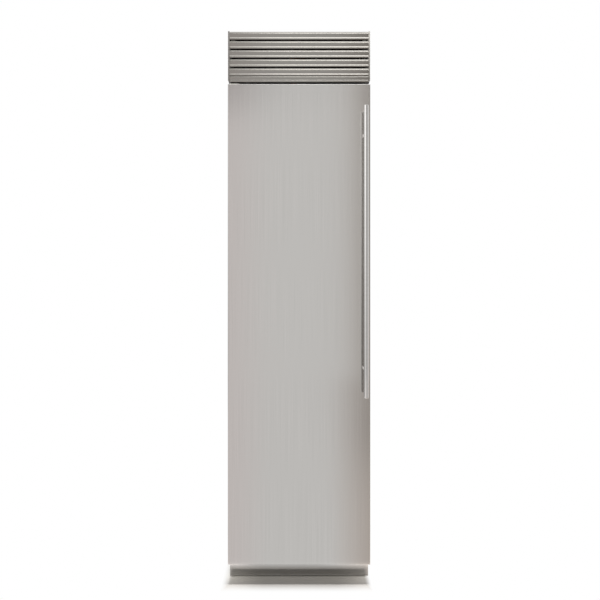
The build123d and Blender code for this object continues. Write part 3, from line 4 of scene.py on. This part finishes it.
import bpy
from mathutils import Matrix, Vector


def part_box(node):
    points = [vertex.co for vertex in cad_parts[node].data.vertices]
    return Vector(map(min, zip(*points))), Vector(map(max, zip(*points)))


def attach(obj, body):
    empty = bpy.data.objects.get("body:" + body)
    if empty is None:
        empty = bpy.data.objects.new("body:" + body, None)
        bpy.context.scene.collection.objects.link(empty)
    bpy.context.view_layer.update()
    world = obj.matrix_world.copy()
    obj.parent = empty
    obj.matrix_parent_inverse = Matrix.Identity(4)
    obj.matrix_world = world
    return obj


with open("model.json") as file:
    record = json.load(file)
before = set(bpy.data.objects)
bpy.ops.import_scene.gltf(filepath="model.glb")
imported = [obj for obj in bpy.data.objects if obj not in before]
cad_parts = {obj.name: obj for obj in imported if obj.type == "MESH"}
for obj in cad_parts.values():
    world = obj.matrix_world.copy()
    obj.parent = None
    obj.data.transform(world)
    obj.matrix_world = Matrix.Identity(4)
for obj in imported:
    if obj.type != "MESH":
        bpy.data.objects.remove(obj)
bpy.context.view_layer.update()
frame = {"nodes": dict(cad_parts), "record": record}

# Tall refrigerator column in satin steel, dressed for a studio picture

mm = 0.001
smoothAngle = 35  # degrees; sharper edges stay sharp
noiseSpan = (0.3, 0.7)  # most of a noise's values lie between these


def deselectAll():
    bpy.ops.object.select_all(action="DESELECT")
    bpy.context.view_layer.objects.active = None


deselectAll()
print("stage: frame loaded")


def linear(hexColour):
    # sRGB hex to the linear values that a shader wants
    channels = [int(hexColour[i:i + 2], 16) / 255 for i in (1, 3, 5)]
    return [c / 12.92 if c <= 0.04045 else ((c + 0.055) / 1.055) ** 2.4 for c in channels] + [1]


def addNode(tree, kind, settings=None, inputs=None, stops=()):
    # an input takes a value, an output, or a node whose first output feeds it; stops are a colour ramp's
    node = tree.nodes.new("ShaderNode" + kind)
    for name, value in (settings or {}).items():
        setattr(node, name, value)
    for name, source in (inputs or {}).items():
        if isinstance(source, bpy.types.Node):
            source = source.outputs[0]
        if isinstance(source, bpy.types.NodeSocket):
            tree.links.new(source, node.inputs[name])
        else:
            node.inputs[name].default_value = source
    for number, (place, colour) in enumerate(stops):
        node.color_ramp.elements[number].position = place
        node.color_ramp.elements[number].color = linear(colour)
    return node


def emptyTree(owner):
    # the node tree of a material or world, cleared
    owner.use_nodes = True
    owner.node_tree.nodes.clear()
    return owner.node_tree


def blotches(tree, pattern):
    # noise; its pattern is three blotch sizes in millimetres and how much finer detail there is
    *sizes, detail = pattern
    place = addNode(tree, "TexCoord")
    scaled = addNode(tree, "Mapping", {}, {"Vector": place.outputs["Object"],
                                           "Scale": [1 / (size * mm) for size in sizes]})
    return addNode(tree, "TexNoise", {}, {"Vector": scaled, "Scale": 1.0, "Detail": detail})


def crystals(tree, spangle):
    # cells of this size in millimetres, each with a grey of its own
    place = addNode(tree, "TexCoord")
    cells = addNode(tree, "TexVoronoi", {"feature": "F1"},
                    {"Vector": place.outputs["Object"], "Scale": 1 / (spangle * mm), "Randomness": 1.0})
    return addNode(tree, "RGBToBW", {}, {"Color": cells.outputs["Color"]})


def lampRow(tree, pitch):
    # one bright band every so many millimetres upwards
    waveScale = 0.31  # the wave texture then has a band for each unit
    place = addNode(tree, "TexCoord")
    scaled = addNode(tree, "Mapping", {}, {"Vector": place.outputs["Object"],
                                           "Scale": (0, 0, 1 / (pitch * mm))})
    lamps = addNode(tree, "TexWave", {"bands_direction": "Z"},
                    {"Vector": scaled, "Scale": waveScale, "Distortion": 0.0})
    return lamps.outputs["Fac"]


def makeFinish(name, constants, look, patternOf=blotches):
    # One principled shader, its constants on its own sockets. The look has
    #   dark, light: the shades between which the pattern moves the colour
    #   pattern: what patternOf takes; span: the values at which the two shades are reached
    #   roughness: the pattern moves it between two values
    #   dull: from and to which upward facing the roughness turns to a third value, on brushed sheet
    #   relief: its depth in millimetres and strength, raised by the pattern or by a finer one
    #   glows: the colour is also given off
    material = bpy.data.materials.new(name)
    tree = emptyTree(material)
    pattern = patternOf(tree, look["pattern"])
    low, high = look.get("span", noiseSpan)
    colour = addNode(tree, "ValToRGB", {}, {"Fac": pattern}, [(low, look["dark"]), (high, look["light"])])
    inputs = dict(constants)
    inputs["Base Color"] = colour
    if "roughness" in look:
        smooth, rough = look["roughness"]
        inputs["Roughness"] = addNode(tree, "MapRange", {},
                                      {"Value": pattern, "From Min": low, "From Max": high,
                                       "To Min": smooth, "To Max": rough})
    if "dull" in look:
        start, end, dullness = look["dull"]
        place = addNode(tree, "TexCoord")
        facing = addNode(tree, "SeparateXYZ", {}, {"Vector": place.outputs["Normal"]})
        inputs["Roughness"] = addNode(tree, "MapRange", {},
                                      {"Value": facing.outputs["Z"], "From Min": start, "From Max": end,
                                       "To Min": inputs["Roughness"], "To Max": dullness})
        inputs["Tangent"] = addNode(tree, "Tangent", {"direction_type": "RADIAL", "axis": "Z"})
    if "relief" in look:
        depth, strength = look["relief"]
        height = blotches(tree, look["finer"]) if "finer" in look else pattern
        inputs["Normal"] = addNode(tree, "Bump", {}, {"Height": height, "Distance": depth * mm,
                                                      "Strength": strength})
    if look.get("glows"):
        inputs["Emission Color"] = colour
    shader = addNode(tree, "BsdfPrincipled", {}, inputs)
    addNode(tree, "OutputMaterial", {}, {"Surface": shader})
    return material


# Brushing, orange peel and spark texture are drawn about a millimetre wide, coarser than real, to show
materialOf = {
    # stainless sheet, belt brushed upright: grey with a faint warm cast, highlights smeared sideways;
    # the brushing turns dull where the sheet folds over at the top
    "satin_steel": makeFinish("satinSteel", {"Metallic": 1.0, "Anisotropic": 0.15}, {
        "dark": "#b9b7b4", "light": "#bfbdba", "pattern": (2.5, 2.5, 420, 3.0),
        "roughness": (0.11, 0.14), "dull": (0.05, 0.3, 0.5), "relief": (0.02, 0.04)}),

    # the same sheet brushed along each slat, with painted shade: its colour is darker than the door's,
    # though it is the same steel; the side that looks down keeps its duller mill finish
    "slat_steel": makeFinish("slatSteelPaintedShade", {"Metallic": 1.0, "Anisotropic": 0.4,
                                           "Anisotropic Rotation": 0.25}, {
        "dark": "#8a8782", "light": "#918e89", "pattern": (500, 1.2, 1.2, 3.0),
        "roughness": (0.16, 0.2), "dull": (-0.7, -0.85, 0.55), "relief": (0.02, 0.05)}),

    # turned and buffed bar: near mirror, with fine rings round it
    "polished_steel": makeFinish("polishedSteel", {"Metallic": 1.0}, {
        "dark": "#d2d0cd", "light": "#dedcda", "pattern": (40, 40, 0.8, 2.0), "roughness": (0.05, 0.09)}),

    # polyester powder coat on sheet: soft light grey with a fine orange peel
    "case_paint": makeFinish("casePaint", {"Roughness": 0.46, "IOR": 1.48}, {
        "dark": "#a6a7a7", "light": "#a9aaaa", "pattern": (160, 160, 220, 2.0),
        "finer": (1.6, 1.6, 1.6, 1.0), "relief": (0.05, 0.25)}),

    # hot dipped zinc sheet: pale crystals of slightly different greys
    "galvanised_steel": makeFinish("galvanisedSheet", {"Metallic": 0.85}, {
        "dark": "#aeb2b3", "light": "#b8bbbc", "pattern": 11, "roughness": (0.38, 0.52)}, crystals),

    # mill polished stainless kick plate, glossier than the door, so it mirrors the floor
    "plinth_steel": makeFinish("plinthSteel", {"Metallic": 1.0}, {
        "dark": "#aeadab", "light": "#b5b4b2", "pattern": (260, 1.5, 1.5, 3.0),
        "roughness": (0.08, 0.12)}),

    # black electrocoat on pressed steel: dull, slightly dusty
    "frame_steel": makeFinish("blackCoatedSteel", {"Roughness": 0.48, "IOR": 1.5}, {
        "dark": "#242425", "light": "#333334", "pattern": (30, 30, 30, 4.0),
        "finer": (0.9, 0.9, 0.9, 1.0), "relief": (0.04, 0.3)}),

    # thermoformed high impact polystyrene: white, soft gloss, faint flow marks
    "liner_plastic": makeFinish("linerPolystyrene", {"IOR": 1.59}, {
        "dark": "#e9eaeb", "light": "#edeeef", "pattern": (120, 120, 300, 2.0),
        "roughness": (0.26, 0.34), "finer": (1.4, 1.4, 1.4, 1.0), "relief": (0.03, 0.2)}),

    # rigid polyurethane foam: cream, full of small cells
    "foam": makeFinish("polyurethaneFoam", {"Roughness": 0.9}, {
        "dark": "#d3c187", "light": "#e6d7a4", "pattern": (3, 3, 3, 3.0), "relief": (0.6, 0.6)}),

    # extruded soft vinyl gasket with a magnet in it: mid grey, silky
    "seal_rubber": makeFinish("gasketVinyl", {"Roughness": 0.55, "IOR": 1.53}, {
        "dark": "#7d7e80", "light": "#8a8b8d", "pattern": (25, 25, 90, 2.0),
        "finer": (0.8, 0.8, 6, 1.0), "relief": (0.05, 0.3)}),

    # tempered float glass: clear with a pale green body
    "shelf_glass": makeFinish("temperedGlass", {"Roughness": 0.02, "IOR": 1.52,
                                                "Transmission Weight": 1.0}, {
        "dark": "#dcebe4", "light": "#e6f2ec", "pattern": (90, 90, 90, 1.0)}),

    # drawn and anodised aluminium edge trim: pale, drawn along its length
    "trim_aluminium": makeFinish("anodisedAluminium", {"Metallic": 1.0}, {
        "dark": "#bfc0c1", "light": "#cdcecf", "pattern": (200, 1.5, 1.5, 2.0),
        "roughness": (0.3, 0.38)}),

    # injection moulded clear styrene: faintly blue, soft reflections
    "bin_plastic": makeFinish("clearStyrene", {"Roughness": 0.08, "IOR": 1.58,
                                               "Transmission Weight": 0.92}, {
        "dark": "#e3ebef", "light": "#eef4f6", "pattern": (60, 60, 60, 2.0),
        "finer": (30, 30, 18, 1.0), "relief": (0.08, 0.2)}),

    # moulded ABS with a fine spark texture: white, matt
    "white_plastic": makeFinish("whiteAbs", {"Roughness": 0.42, "IOR": 1.54}, {
        "dark": "#dfe0e1", "light": "#e8e9e9", "pattern": (70, 70, 70, 2.0),
        "finer": (0.7, 0.7, 0.7, 1.0), "relief": (0.04, 0.35)}),

    # opal acrylic over a row of lamps: milky, brighter over each lamp
    "light_diffuser": makeFinish("opalAcrylic", {"Roughness": 0.35, "IOR": 1.49, "Subsurface Weight": 0.2,
                                                 "Emission Strength": 0.35}, {
        "dark": "#eef0ef", "light": "#fafbfa", "pattern": 16,
        "span": (0.0, 1.0), "glows": True}, lampRow),

    # glass filled nylon: black, dull, faint streaks of fibre
    "black_plastic": makeFinish("blackNylon", {"Roughness": 0.5, "IOR": 1.53}, {
        "dark": "#1c1c1d", "light": "#29292a", "pattern": (3, 3, 9, 3.0), "relief": (0.05, 0.3)}),

    # back printed acrylic: black and glassy
    "panel_black": makeFinish("blackAcrylic", {"Roughness": 0.12, "IOR": 1.49, "Coat Weight": 0.5,
                                               "Coat Roughness": 0.05}, {
        "dark": "#121213", "light": "#19191a", "pattern": (50, 50, 50, 1.0)}),

    # stove enamel over deep drawn steel: black with soft waves from the drawing
    "compressor_black": makeFinish("blackEnamel", {"Roughness": 0.32, "IOR": 1.5}, {
        "dark": "#1e1e1f", "light": "#2b2b2c", "pattern": (22, 22, 22, 2.0), "relief": (0.3, 0.3)}),

    # thin rolled aluminium fin stock: bright, lightly streaked
    "coil_aluminium": makeFinish("finAluminium", {"Metallic": 1.0}, {
        "dark": "#b3b6b8", "light": "#cacccd", "pattern": (12, 5, 40, 2.0), "roughness": (0.28, 0.42)}),

    # drawn copper tube, a little dulled by heat
    "copper": makeFinish("copperTube", {"Metallic": 1.0}, {
        "dark": "#a4623f", "light": "#c98a62", "pattern": (18, 18, 18, 4.0), "roughness": (0.24, 0.4)}),

    # moulded black rubber: matt with a dusty bloom
    "mount_rubber": makeFinish("mountRubber", {"Roughness": 0.75, "IOR": 1.52}, {
        "dark": "#1d1d1d", "light": "#2f2f2e", "pattern": (6, 6, 6, 4.0), "relief": (0.1, 0.3)}),

    # bright zinc plate on pressed steel: pale with a yellowish tint and handling marks
    "zinc_steel": makeFinish("zincPlate", {"Metallic": 0.95}, {
        "dark": "#b3b2ab", "light": "#c9c8c0", "pattern": (8, 8, 8, 4.0), "roughness": (0.3, 0.45)}),

    # turned acetal: ivory white and slippery
    "bearing_plastic": makeFinish("acetal", {"Roughness": 0.32, "IOR": 1.48}, {
        "dark": "#d9d8d0", "light": "#e6e5de", "pattern": (9, 9, 1.2, 2.0)}),
}

# every node keeps the slot that the record gives it
slotOf = {part["node"]: part["material_slot"] for part in frame["record"]["subparts"]}
for name, node in frame["nodes"].items():
    node.data.materials.clear()
    node.data.materials.append(materialOf[slotOf[name]])

print("stage: materials on the nodes")


def finishPiece(piece, name, body, slot):
    # the piece's place goes into its mesh, then it gets its body, slot and material
    deselectAll()
    piece.select_set(True)
    bpy.context.view_layer.objects.active = piece
    bpy.ops.object.transform_apply(location=True, rotation=True, scale=True)
    bpy.ops.object.shade_smooth_by_angle(angle=math.radians(smoothAngle))
    piece.name = name
    piece.data.materials.clear()
    piece.data.materials.append(materialOf[slot])
    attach(piece, body)
    deselectAll()


def selectOnly(piece, kind, wanted):
    # in edit mode, only the faces, edges or vertices for which wanted holds are then selected
    bpy.ops.object.mode_set(mode="EDIT")
    bpy.ops.mesh.select_mode(type=kind)
    bpy.ops.mesh.select_all(action="DESELECT")
    bpy.ops.object.mode_set(mode="OBJECT")
    parts = {"FACE": piece.data.polygons, "EDGE": piece.data.edges, "VERT": piece.data.vertices}[kind]
    for part in parts:
        part.select = wanted(part)
    bpy.ops.object.mode_set(mode="EDIT")


# A head's dome rises in two steps, each inward by a share of the radius and up by a share of the dome
headShape = {"sides": 18, "steps": ((0.22, 0.65), (0.28, 0.35)), "recessLand": 0.12, "facingUp": 0.9}


def addHeads(name, body, slot, head, facing, places):
    # screw heads or caps: one is shaped as a low dome, with a driver's recess if it has one, then copied
    radius, height, dome, recess = (head[key] * mm for key in ("radius", "height", "dome", "recess"))
    deselectAll()
    bpy.ops.mesh.primitive_cylinder_add(vertices=headShape["sides"], radius=radius, depth=height,
                                        location=(0, 0, height / 2))
    first = bpy.context.object
    bpy.ops.object.transform_apply(location=True, rotation=False, scale=False)
    selectOnly(first, "FACE", lambda face: face.normal.z > headShape["facingUp"])
    for inward, upward in headShape["steps"]:
        bpy.ops.mesh.inset(thickness=radius * inward, depth=dome * upward)
    if recess:
        bpy.ops.mesh.inset(thickness=radius * headShape["recessLand"], depth=0)
        bpy.ops.mesh.extrude_region_move(TRANSFORM_OT_translate={"value": (0, 0, -recess)})
    bpy.ops.object.mode_set(mode="OBJECT")
    heads = []
    for place in places:
        copy = first.copy()
        copy.data = first.data.copy()
        bpy.context.collection.objects.link(copy)
        copy.rotation_euler = [math.radians(turn) for turn in facing]
        copy.location = place
        heads.append(copy)
    bpy.data.objects.remove(first)
    deselectAll()
    for copy in heads:
        copy.select_set(True)
    bpy.context.view_layer.objects.active = heads[0]
    bpy.ops.object.join()
    finishPiece(bpy.context.object, name, body, slot)


def frontCorners(low, high, inset):
    # the four corners of a box's front face, so many millimetres in
    return [(x, low.y, z) for x in (low.x + inset * mm, high.x - inset * mm)
            for z in (low.z + inset * mm, high.z - inset * mm)]


# Pan head screws along the rear edge of both sides
sideScrews = {"radius": 3.8, "height": 0.8, "dome": 0.9, "recess": 0.9,
              "fromRear": 14, "fromBottom": 60, "fromTop": 74, "count": 5}
for sideName, turn in (("left", -90), ("right", 90)):
    low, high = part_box("side_panel_" + sideName)
    faceX = low.x if sideName == "left" else high.x
    bottom = low.z + sideScrews["fromBottom"] * mm
    pitch = (high.z - sideScrews["fromTop"] * mm - bottom) / (sideScrews["count"] - 1)
    addHeads("side_screws_" + sideName, "cabinet", "zinc_steel", sideScrews, (0, turn, 0),
             [(faceX, high.y - sideScrews["fromRear"] * mm, bottom + pitch * i)
              for i in range(sideScrews["count"])])

# Snap caps over the screws of the evaporator cover
coverCaps = {"radius": 6, "height": 0.8, "dome": 1.4, "recess": 0, "inset": 12}
addHeads("cover_caps", "cabinet", "white_plastic", coverCaps, (90, 0, 0),
         frontCorners(*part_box("evaporator_cover"), coverCaps["inset"]))

# Screws that hold the front of the electronics box
boxScrews = {"radius": 3, "height": 0.6, "dome": 0.8, "recess": 0.7, "inset": 7}
addHeads("box_screws", "cabinet", "zinc_steel", boxScrews, (90, 0, 0),
         frontCorners(*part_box("electronics_box"), boxScrews["inset"]))

# Thin corrugated fins between the condenser's plates
fineFins = {"thick": 0.3, "between": 3, "plates": 17, "endPlate": 2, "wave": 0.8, "folds": 9,
            "margin": 1.2, "fromTop": 3, "fromBottom": 14}
low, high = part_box("condenser")
platePitch = (high.x - low.x - fineFins["endPlate"] * mm) / (fineFins["plates"] - 1)
finPitch = platePitch / (fineFins["between"] + 1)
finDepth = high.y - low.y - 2 * fineFins["margin"] * mm
foldPitch = finDepth / (fineFins["folds"] + 1)
finHigh = high.z - fineFins["fromTop"] * mm
finLow = low.z + fineFins["fromBottom"] * mm
firstPlace = (low.x + finPitch, (low.y + high.y) / 2, (finLow + finHigh) / 2)
deselectAll()
bpy.ops.mesh.primitive_cube_add(size=1, location=firstPlace)
fins = bpy.context.object
fins.scale = (fineFins["thick"] * mm, finDepth, finHigh - finLow)
bpy.ops.object.transform_apply(location=True, rotation=False, scale=True)


def runsBack(edge):
    # from front to rear, so over a millimetre
    ends = [fins.data.vertices[i].co for i in edge.vertices]
    return abs(ends[0].y - ends[1].y) > mm


def onOddFold(vertex):
    # every other row of vertices goes sideways, which folds the fin
    return round((vertex.co.y - low.y - fineFins["margin"] * mm) / foldPitch) % 2 == 1


selectOnly(fins, "EDGE", runsBack)
bpy.ops.mesh.subdivide(number_cuts=fineFins["folds"])
selectOnly(fins, "VERT", onOddFold)
bpy.ops.transform.translate(value=(fineFins["wave"] * mm, 0, 0))
bpy.ops.object.mode_set(mode="OBJECT")
for count, pitch in ((fineFins["between"], finPitch), (fineFins["plates"] - 1, platePitch)):
    rows = fins.modifiers.new("row", "ARRAY")
    rows.count = count
    rows.use_relative_offset = False
    rows.use_constant_offset = True
    rows.constant_offset_displace = (pitch, 0, 0)
    bpy.ops.object.modifier_apply(modifier=rows.name)
finishPiece(fins, "condenser_fins", "cabinet", "coil_aluminium")

print("stage: small pieces")

# Camera, straight on; shifts and height put the horizon where the picture has it
cameraSet = {"distance": 2.5, "height": 1.239, "lens": 38.9, "sensor": 36,
             "shiftX": 0.0016, "shiftY": -0.0613}
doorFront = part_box("door_skin")[0].y
bpy.ops.object.camera_add(location=(0, doorFront - cameraSet["distance"], cameraSet["height"]),
                          rotation=(math.radians(90), 0, 0))
camera = bpy.context.object
camera.name = "pictureCamera"
camera.data.sensor_width = cameraSet["sensor"]
camera.data.lens = cameraSet["lens"]
camera.data.shift_x = cameraSet["shiftX"]
camera.data.shift_y = cameraSet["shiftY"]
bpy.context.scene.camera = camera


def objectAxes(tree):
    place = addNode(tree, "TexCoord")
    return addNode(tree, "SeparateXYZ", {}, {"Vector": place.outputs["Object"]}).outputs


def farFrom(tree, centre, reach):
    # distance from a place in the object's own XY, counted in reaches
    place = addNode(tree, "TexCoord")
    moved = addNode(tree, "Mapping", {"vector_type": "POINT"},
                    {"Vector": place.outputs["Object"], "Scale": (1 / reach[0], 1 / reach[1], 0),
                     "Location": (-centre[0] / reach[0], -centre[1] / reach[1], 0)})
    return addNode(tree, "VectorMath", {"operation": "LENGTH"}, {"Vector": moved}).outputs["Value"]


def faded(tree, *fades):
    # product of soft steps: what each runs along, its start and end, and its levels before and after
    product = None
    for along, start, end, before, after in fades:
        step = addNode(tree, "MapRange", {"interpolation_type": "SMOOTHSTEP"},
                       {"Value": along, "From Min": start, "From Max": end,
                        "To Min": before, "To Max": after})
        if product:
            step = addNode(tree, "Math", {"operation": "MULTIPLY"}, {0: product, 1: step})
        product = step
    return product


def seenRay(tree, path):
    # 1 for what the camera sees, also in metal
    return addNode(tree, "Math", {"operation": "MAXIMUM"},
                   {0: path["Is Camera Ray"], 1: path["Is Glossy Ray"]})


def warmSides(tree, across, sides):
    # neutral in the middle, warmer at both sides; each side is its colour and where it starts and ends
    tints = []
    for way, (colour, start, end) in zip((-1.0, 1.0), sides):
        outward = addNode(tree, "Math", {"operation": "MULTIPLY"}, {0: across, 1: way})
        tints.append(addNode(tree, "ValToRGB", {}, {"Fac": outward}, [(start, "#ffffff"), (end, colour)]))
    return addNode(tree, "VectorMath", {"operation": "MULTIPLY"}, {0: tints[0], 1: tints[1]})


def addPanel(name, look):
    # a studio panel that only reflections see; it glows at its base level plus each product of fades
    bpy.ops.mesh.primitive_plane_add(size=1, location=look["place"],
                                     rotation=[math.radians(turn) for turn in look["turn"]])
    panel = bpy.context.object
    panel.name = name
    panel.scale = (*look["size"], 1)
    bpy.ops.object.transform_apply(location=False, rotation=False, scale=True)
    panel.visible_camera = False
    panel.visible_diffuse = False
    panel.visible_transmission = False
    panel.visible_shadow = False
    material = bpy.data.materials.new(name + "Glow")
    tree = emptyTree(material)
    axes = objectAxes(tree)
    strength = look["base"]
    for row in look["fades"]:
        fades = [(axes[along] if isinstance(along, str) else farFrom(tree, *along), *step)
                 for along, *step in row]
        strength = addNode(tree, "Math", {"operation": "ADD"}, {0: strength, 1: faded(tree, *fades)})
    tint = warmSides(tree, axes["X"], look["sides"]) if "sides" in look else linear("#ffffff")
    glow = addNode(tree, "Emission", {}, {"Color": tint, "Strength": strength})
    addNode(tree, "OutputMaterial", {}, {"Surface": glow})
    panel.data.materials.append(material)


# A fade is (what it runs along, start, end, level before, level after);
# it runs along the panel's own X or Y, or away from a centre, counted in reaches
panels = {
    # behind the camera: even, but for the sides, the top and the upper left corner
    "frontPanel": {
        "place": (0, -4.7, 1.875), "turn": (90, 0, 0), "size": (3.4, 3.75), "base": 0.0,
        "fades": [[("X", 0.45, 1.15, 1.01, 0.12),
                   ("Y", 0.8, 1.5, 1.0, 0.9),
                   (((-0.9, 1.38), (0.75, 0.6)), 0.1, 1.1, 0.72, 1.0),
                   ("X", -0.95, -1.35, 1.0, 0.25)]],
        "sides": (("#fff9f9", 0.35, 0.70), ("#f4e6da", 0.45, 1.0))},

    # on the right: the bar mirrors its darker end as a dark line
    "rightPanel": {
        "place": (2.6, -2.2, 2.25), "turn": (90, 0, 70), "size": (6.0, 4.5), "base": 0.0,
        "fades": [[("X", -0.6, 0.5, 0.3, 0.74)]]},

    # on the left: the bar mirrors it as a bright streak
    "leftPanel": {
        "place": (-2.6, -2.2, 2.25), "turn": (90, 0, -70), "size": (6.0, 4.5), "base": 0.0,
        "fades": [[(((0, 1.2), (6, 3.2)), 0.2, 1.2, 1.5, 0.72),
                   ("X", -2.3, -1.1, 0.12, 1.0)]]},

    # overhead: the grille mirrors its far end in the slats' round noses and its near end in their beads,
    # both less so on the left
    "topPanel": {
        "place": (0.6, -2.65, 4.1), "turn": (8.3, 0, 0), "size": (3.2, 4.14), "base": 0.7,
        "fades": [[("Y", -0.75, -0.05, 4.7, 0.0),
                   ("X", -1.35, -0.70, 0.0, 1.0)],
                  [("Y", 0.7, 1.1, 0.0, 3.0),
                   ("X", -1.25, -0.65, 0.35, 1.0)]]},
}
for name, look in panels.items():
    addPanel(name, look)

# The floor shades as pale paper near the object, its colour holding painted light and shade, and is plain
# white past the outline that the edges give. Metal sees a painted reflection of it, shaded towards the
# right, as the front panel is, in a fan that opens towards the camera, and lighter towards the ends of
# the strip in front of the foot, which only the plinth mirrors
floorLook = {"size": 30, "paperPaintedShade": "#aeaaa5", "paperPaintedShadeAtFoot": "#dad6ce", "footFade": (0.21, 0.267),
             "endFade": (0.13, 0.25), "paintedEndGain": 1.32,
             "rightEdge": (0.256, 0.282), "leftEdge": (-0.262, -0.302), "frontEdge": (0.262, 0.336),
             "fanSpread": 0.4, "fanFade": (0.10, 0.34), "fanReach": (0.3, 2.6), "fanLevels": (0.76, 0.47),
             "stripFade": (0.27, 0.345), "stripEnd": (0.40, 0.45), "stripLevels": (1.25, 2.4),
             "stripLeft": (-0.16, -0.28), "stripRight": (0.04, 0.28),
             "sides": (("#fff9f9", 0.12, 0.25), ("#fbf1ea", 0.12, 0.27))}
bpy.ops.mesh.primitive_plane_add(size=floorLook["size"], location=(0, 0, 0))
floor = bpy.context.object
floor.name = "paleFloor"

floorMaterial = bpy.data.materials.new("paleFloorFinish")
tree = emptyTree(floorMaterial)
axes = objectAxes(tree)
across = addNode(tree, "Math", {"operation": "ABSOLUTE"}, {0: axes["X"]})
along = addNode(tree, "Math", {"operation": "ABSOLUTE"}, {0: axes["Y"]})

# pale paper, which takes the shadow; its colour is painted shade, warm and darker towards the front, and
# painted light, lighter at the foot and towards the ends
footStart, footEnd = floorLook["footFade"]
paperPaintedShade = addNode(tree, "ValToRGB", {}, {"Fac": along}, [(footStart, floorLook["paperPaintedShadeAtFoot"]),
                                                       (footEnd, floorLook["paperPaintedShade"])])
ends = faded(tree, (across, *floorLook["endFade"], 1.0, floorLook["paintedEndGain"]))
lighter = addNode(tree, "VectorMath", {"operation": "SCALE"}, {"Vector": paperPaintedShade, "Scale": ends})
matt = addNode(tree, "BsdfDiffuse", {}, {"Color": lighter})

# what metal mirrors: a painted reflection, with painted shade towards the right in a fan, painted light
# on the strip in front of the foot, lighter at its ends, and warmer at the sides
ahead = addNode(tree, "Math", {"operation": "SUBTRACT"}, {0: doorFront, 1: axes["Y"]})
spreading = addNode(tree, "Math", {"operation": "MULTIPLY_ADD"},
                    {0: ahead, 1: floorLook["fanSpread"], 2: 1.0})
fan = addNode(tree, "Math", {"operation": "DIVIDE"}, {0: axes["X"], 1: spreading})
fanLevel = faded(tree, (ahead, *floorLook["fanReach"], *floorLook["fanLevels"]))
fanPaintedShade = faded(tree, (fan, *floorLook["fanFade"], 1.0, fanLevel))
stripSides = [faded(tree, (axes["X"], *floorLook[side], *floorLook["stripLevels"]))
              for side in ("stripLeft", "stripRight")]
stripLevel = addNode(tree, "Math", {"operation": "MAXIMUM"}, {0: stripSides[0], 1: stripSides[1]})
stripPaintedLight = faded(tree, (along, *floorLook["stripFade"], 1.0, stripLevel))
paintedReflectionLevel = faded(tree, (along, *floorLook["stripEnd"], stripPaintedLight, fanPaintedShade))
paintedReflection = addNode(tree, "Emission", {}, {"Color": warmSides(tree, fan, floorLook["sides"]),
                                          "Strength": paintedReflectionLevel})

# plain white farther out for the camera; metal there sees the painted reflection
path = addNode(tree, "LightPath").outputs
plain = addNode(tree, "Emission", {}, {"Color": linear("#ffffff"), "Strength": 1.0})
white = addNode(tree, "MixShader", {}, {0: path["Is Glossy Ray"], 1: plain, 2: paintedReflection})
# the edges fade the grey paper into plain white: in front this draws the shadow's soft fade as painted
# shade, and the wider left fade draws a soft painted shade along the left side
pastRight = faded(tree, (axes["X"], *floorLook["rightEdge"], 0.0, 1.0))
pastLeft = faded(tree, (axes["X"], *floorLook["leftEdge"], 0.0, 1.0))
pastFront = faded(tree, (along, *floorLook["frontEdge"], 0.0, 1.0))
pastSides = addNode(tree, "Math", {"operation": "MAXIMUM"}, {0: pastRight, 1: pastLeft})
outside = addNode(tree, "Math", {"operation": "MAXIMUM"}, {0: pastSides, 1: pastFront})
glowing = addNode(tree, "Math", {"operation": "MULTIPLY"}, {0: outside, 1: seenRay(tree, path)})
mix = addNode(tree, "MixShader", {}, {0: glowing, 1: matt, 2: white})
addNode(tree, "OutputMaterial", {}, {"Surface": mix})
floor.data.materials.append(floorMaterial)


def addLamp(name, look):
    # an area lamp seen in no reflection; at its aim it lights a white sheet to its level, 1 being white
    bpy.ops.object.light_add(type="AREA", location=look["place"])
    lamp = bpy.context.object
    lamp.name = name
    lamp.data.shape = "RECTANGLE"
    lamp.data.size, lamp.data.size_y = look["size"]
    toward = Vector(look["aim"]) - Vector(look["place"])
    lamp.data.energy = look["level"] * math.pi ** 2 * toward.length ** 2
    lamp.rotation_euler = toward.to_track_quat("-Z", "Y").to_euler()
    lamp.visible_glossy = False
    lamp.visible_camera = False
    receivers = bpy.data.collections.new(name + "Receivers")
    receivers.objects.link(floor)
    receivers.collection_objects[0].light_linking.link_state = look["floor"]
    lamp.light_linking.receiver_collection = receivers


# Plain even light; the overhead lamp lights only the floor, where it draws the shadow
overheadY = doorFront - 0.02  # just in front of the door
lamps = {
    "leftLamp": {"place": (-4.0, -2.5, 2.0), "aim": (0, 0, 1.0),
                 "size": (2.0, 2.0), "level": 0.22, "floor": "EXCLUDE"},
    "rightLamp": {"place": (4.0, -2.5, 2.0), "aim": (0, 0, 1.0),
                  "size": (2.0, 2.0), "level": 0.22, "floor": "EXCLUDE"},
    "backLamp": {"place": (0, 4.5, 2.0), "aim": (0, 0, 1.0),
                 "size": (3.0, 2.0), "level": 0.25, "floor": "EXCLUDE"},
    "overheadLamp": {"place": (0, overheadY, 4.0), "aim": (0, overheadY, 0),
                     "size": (1.0, 0.12), "level": 0.92, "floor": "INCLUDE"},
}
for name, look in lamps.items():
    addLamp(name, look)

# The world lights at its level and is white where the camera sees it, also in metal and through glass
worldLook = {"level": 0.85, "seen": 1.0}
world = bpy.data.worlds.new("studioWorld")
bpy.context.scene.world = world
tree = emptyTree(world)
path = addNode(tree, "LightPath").outputs
through = addNode(tree, "Math", {"operation": "MAXIMUM"},
                  {0: seenRay(tree, path), 1: path["Is Transmission Ray"]})
strength = addNode(tree, "MapRange", {}, {"Value": through, "To Min": worldLook["level"],
                                          "To Max": worldLook["seen"]})
sky = addNode(tree, "Background", {}, {"Color": linear("#ffffff"), "Strength": strength})
addNode(tree, "OutputWorld", {}, {"Surface": sky})

bpy.context.scene.view_settings.view_transform = "Standard"

print("stage: camera, light and floor")
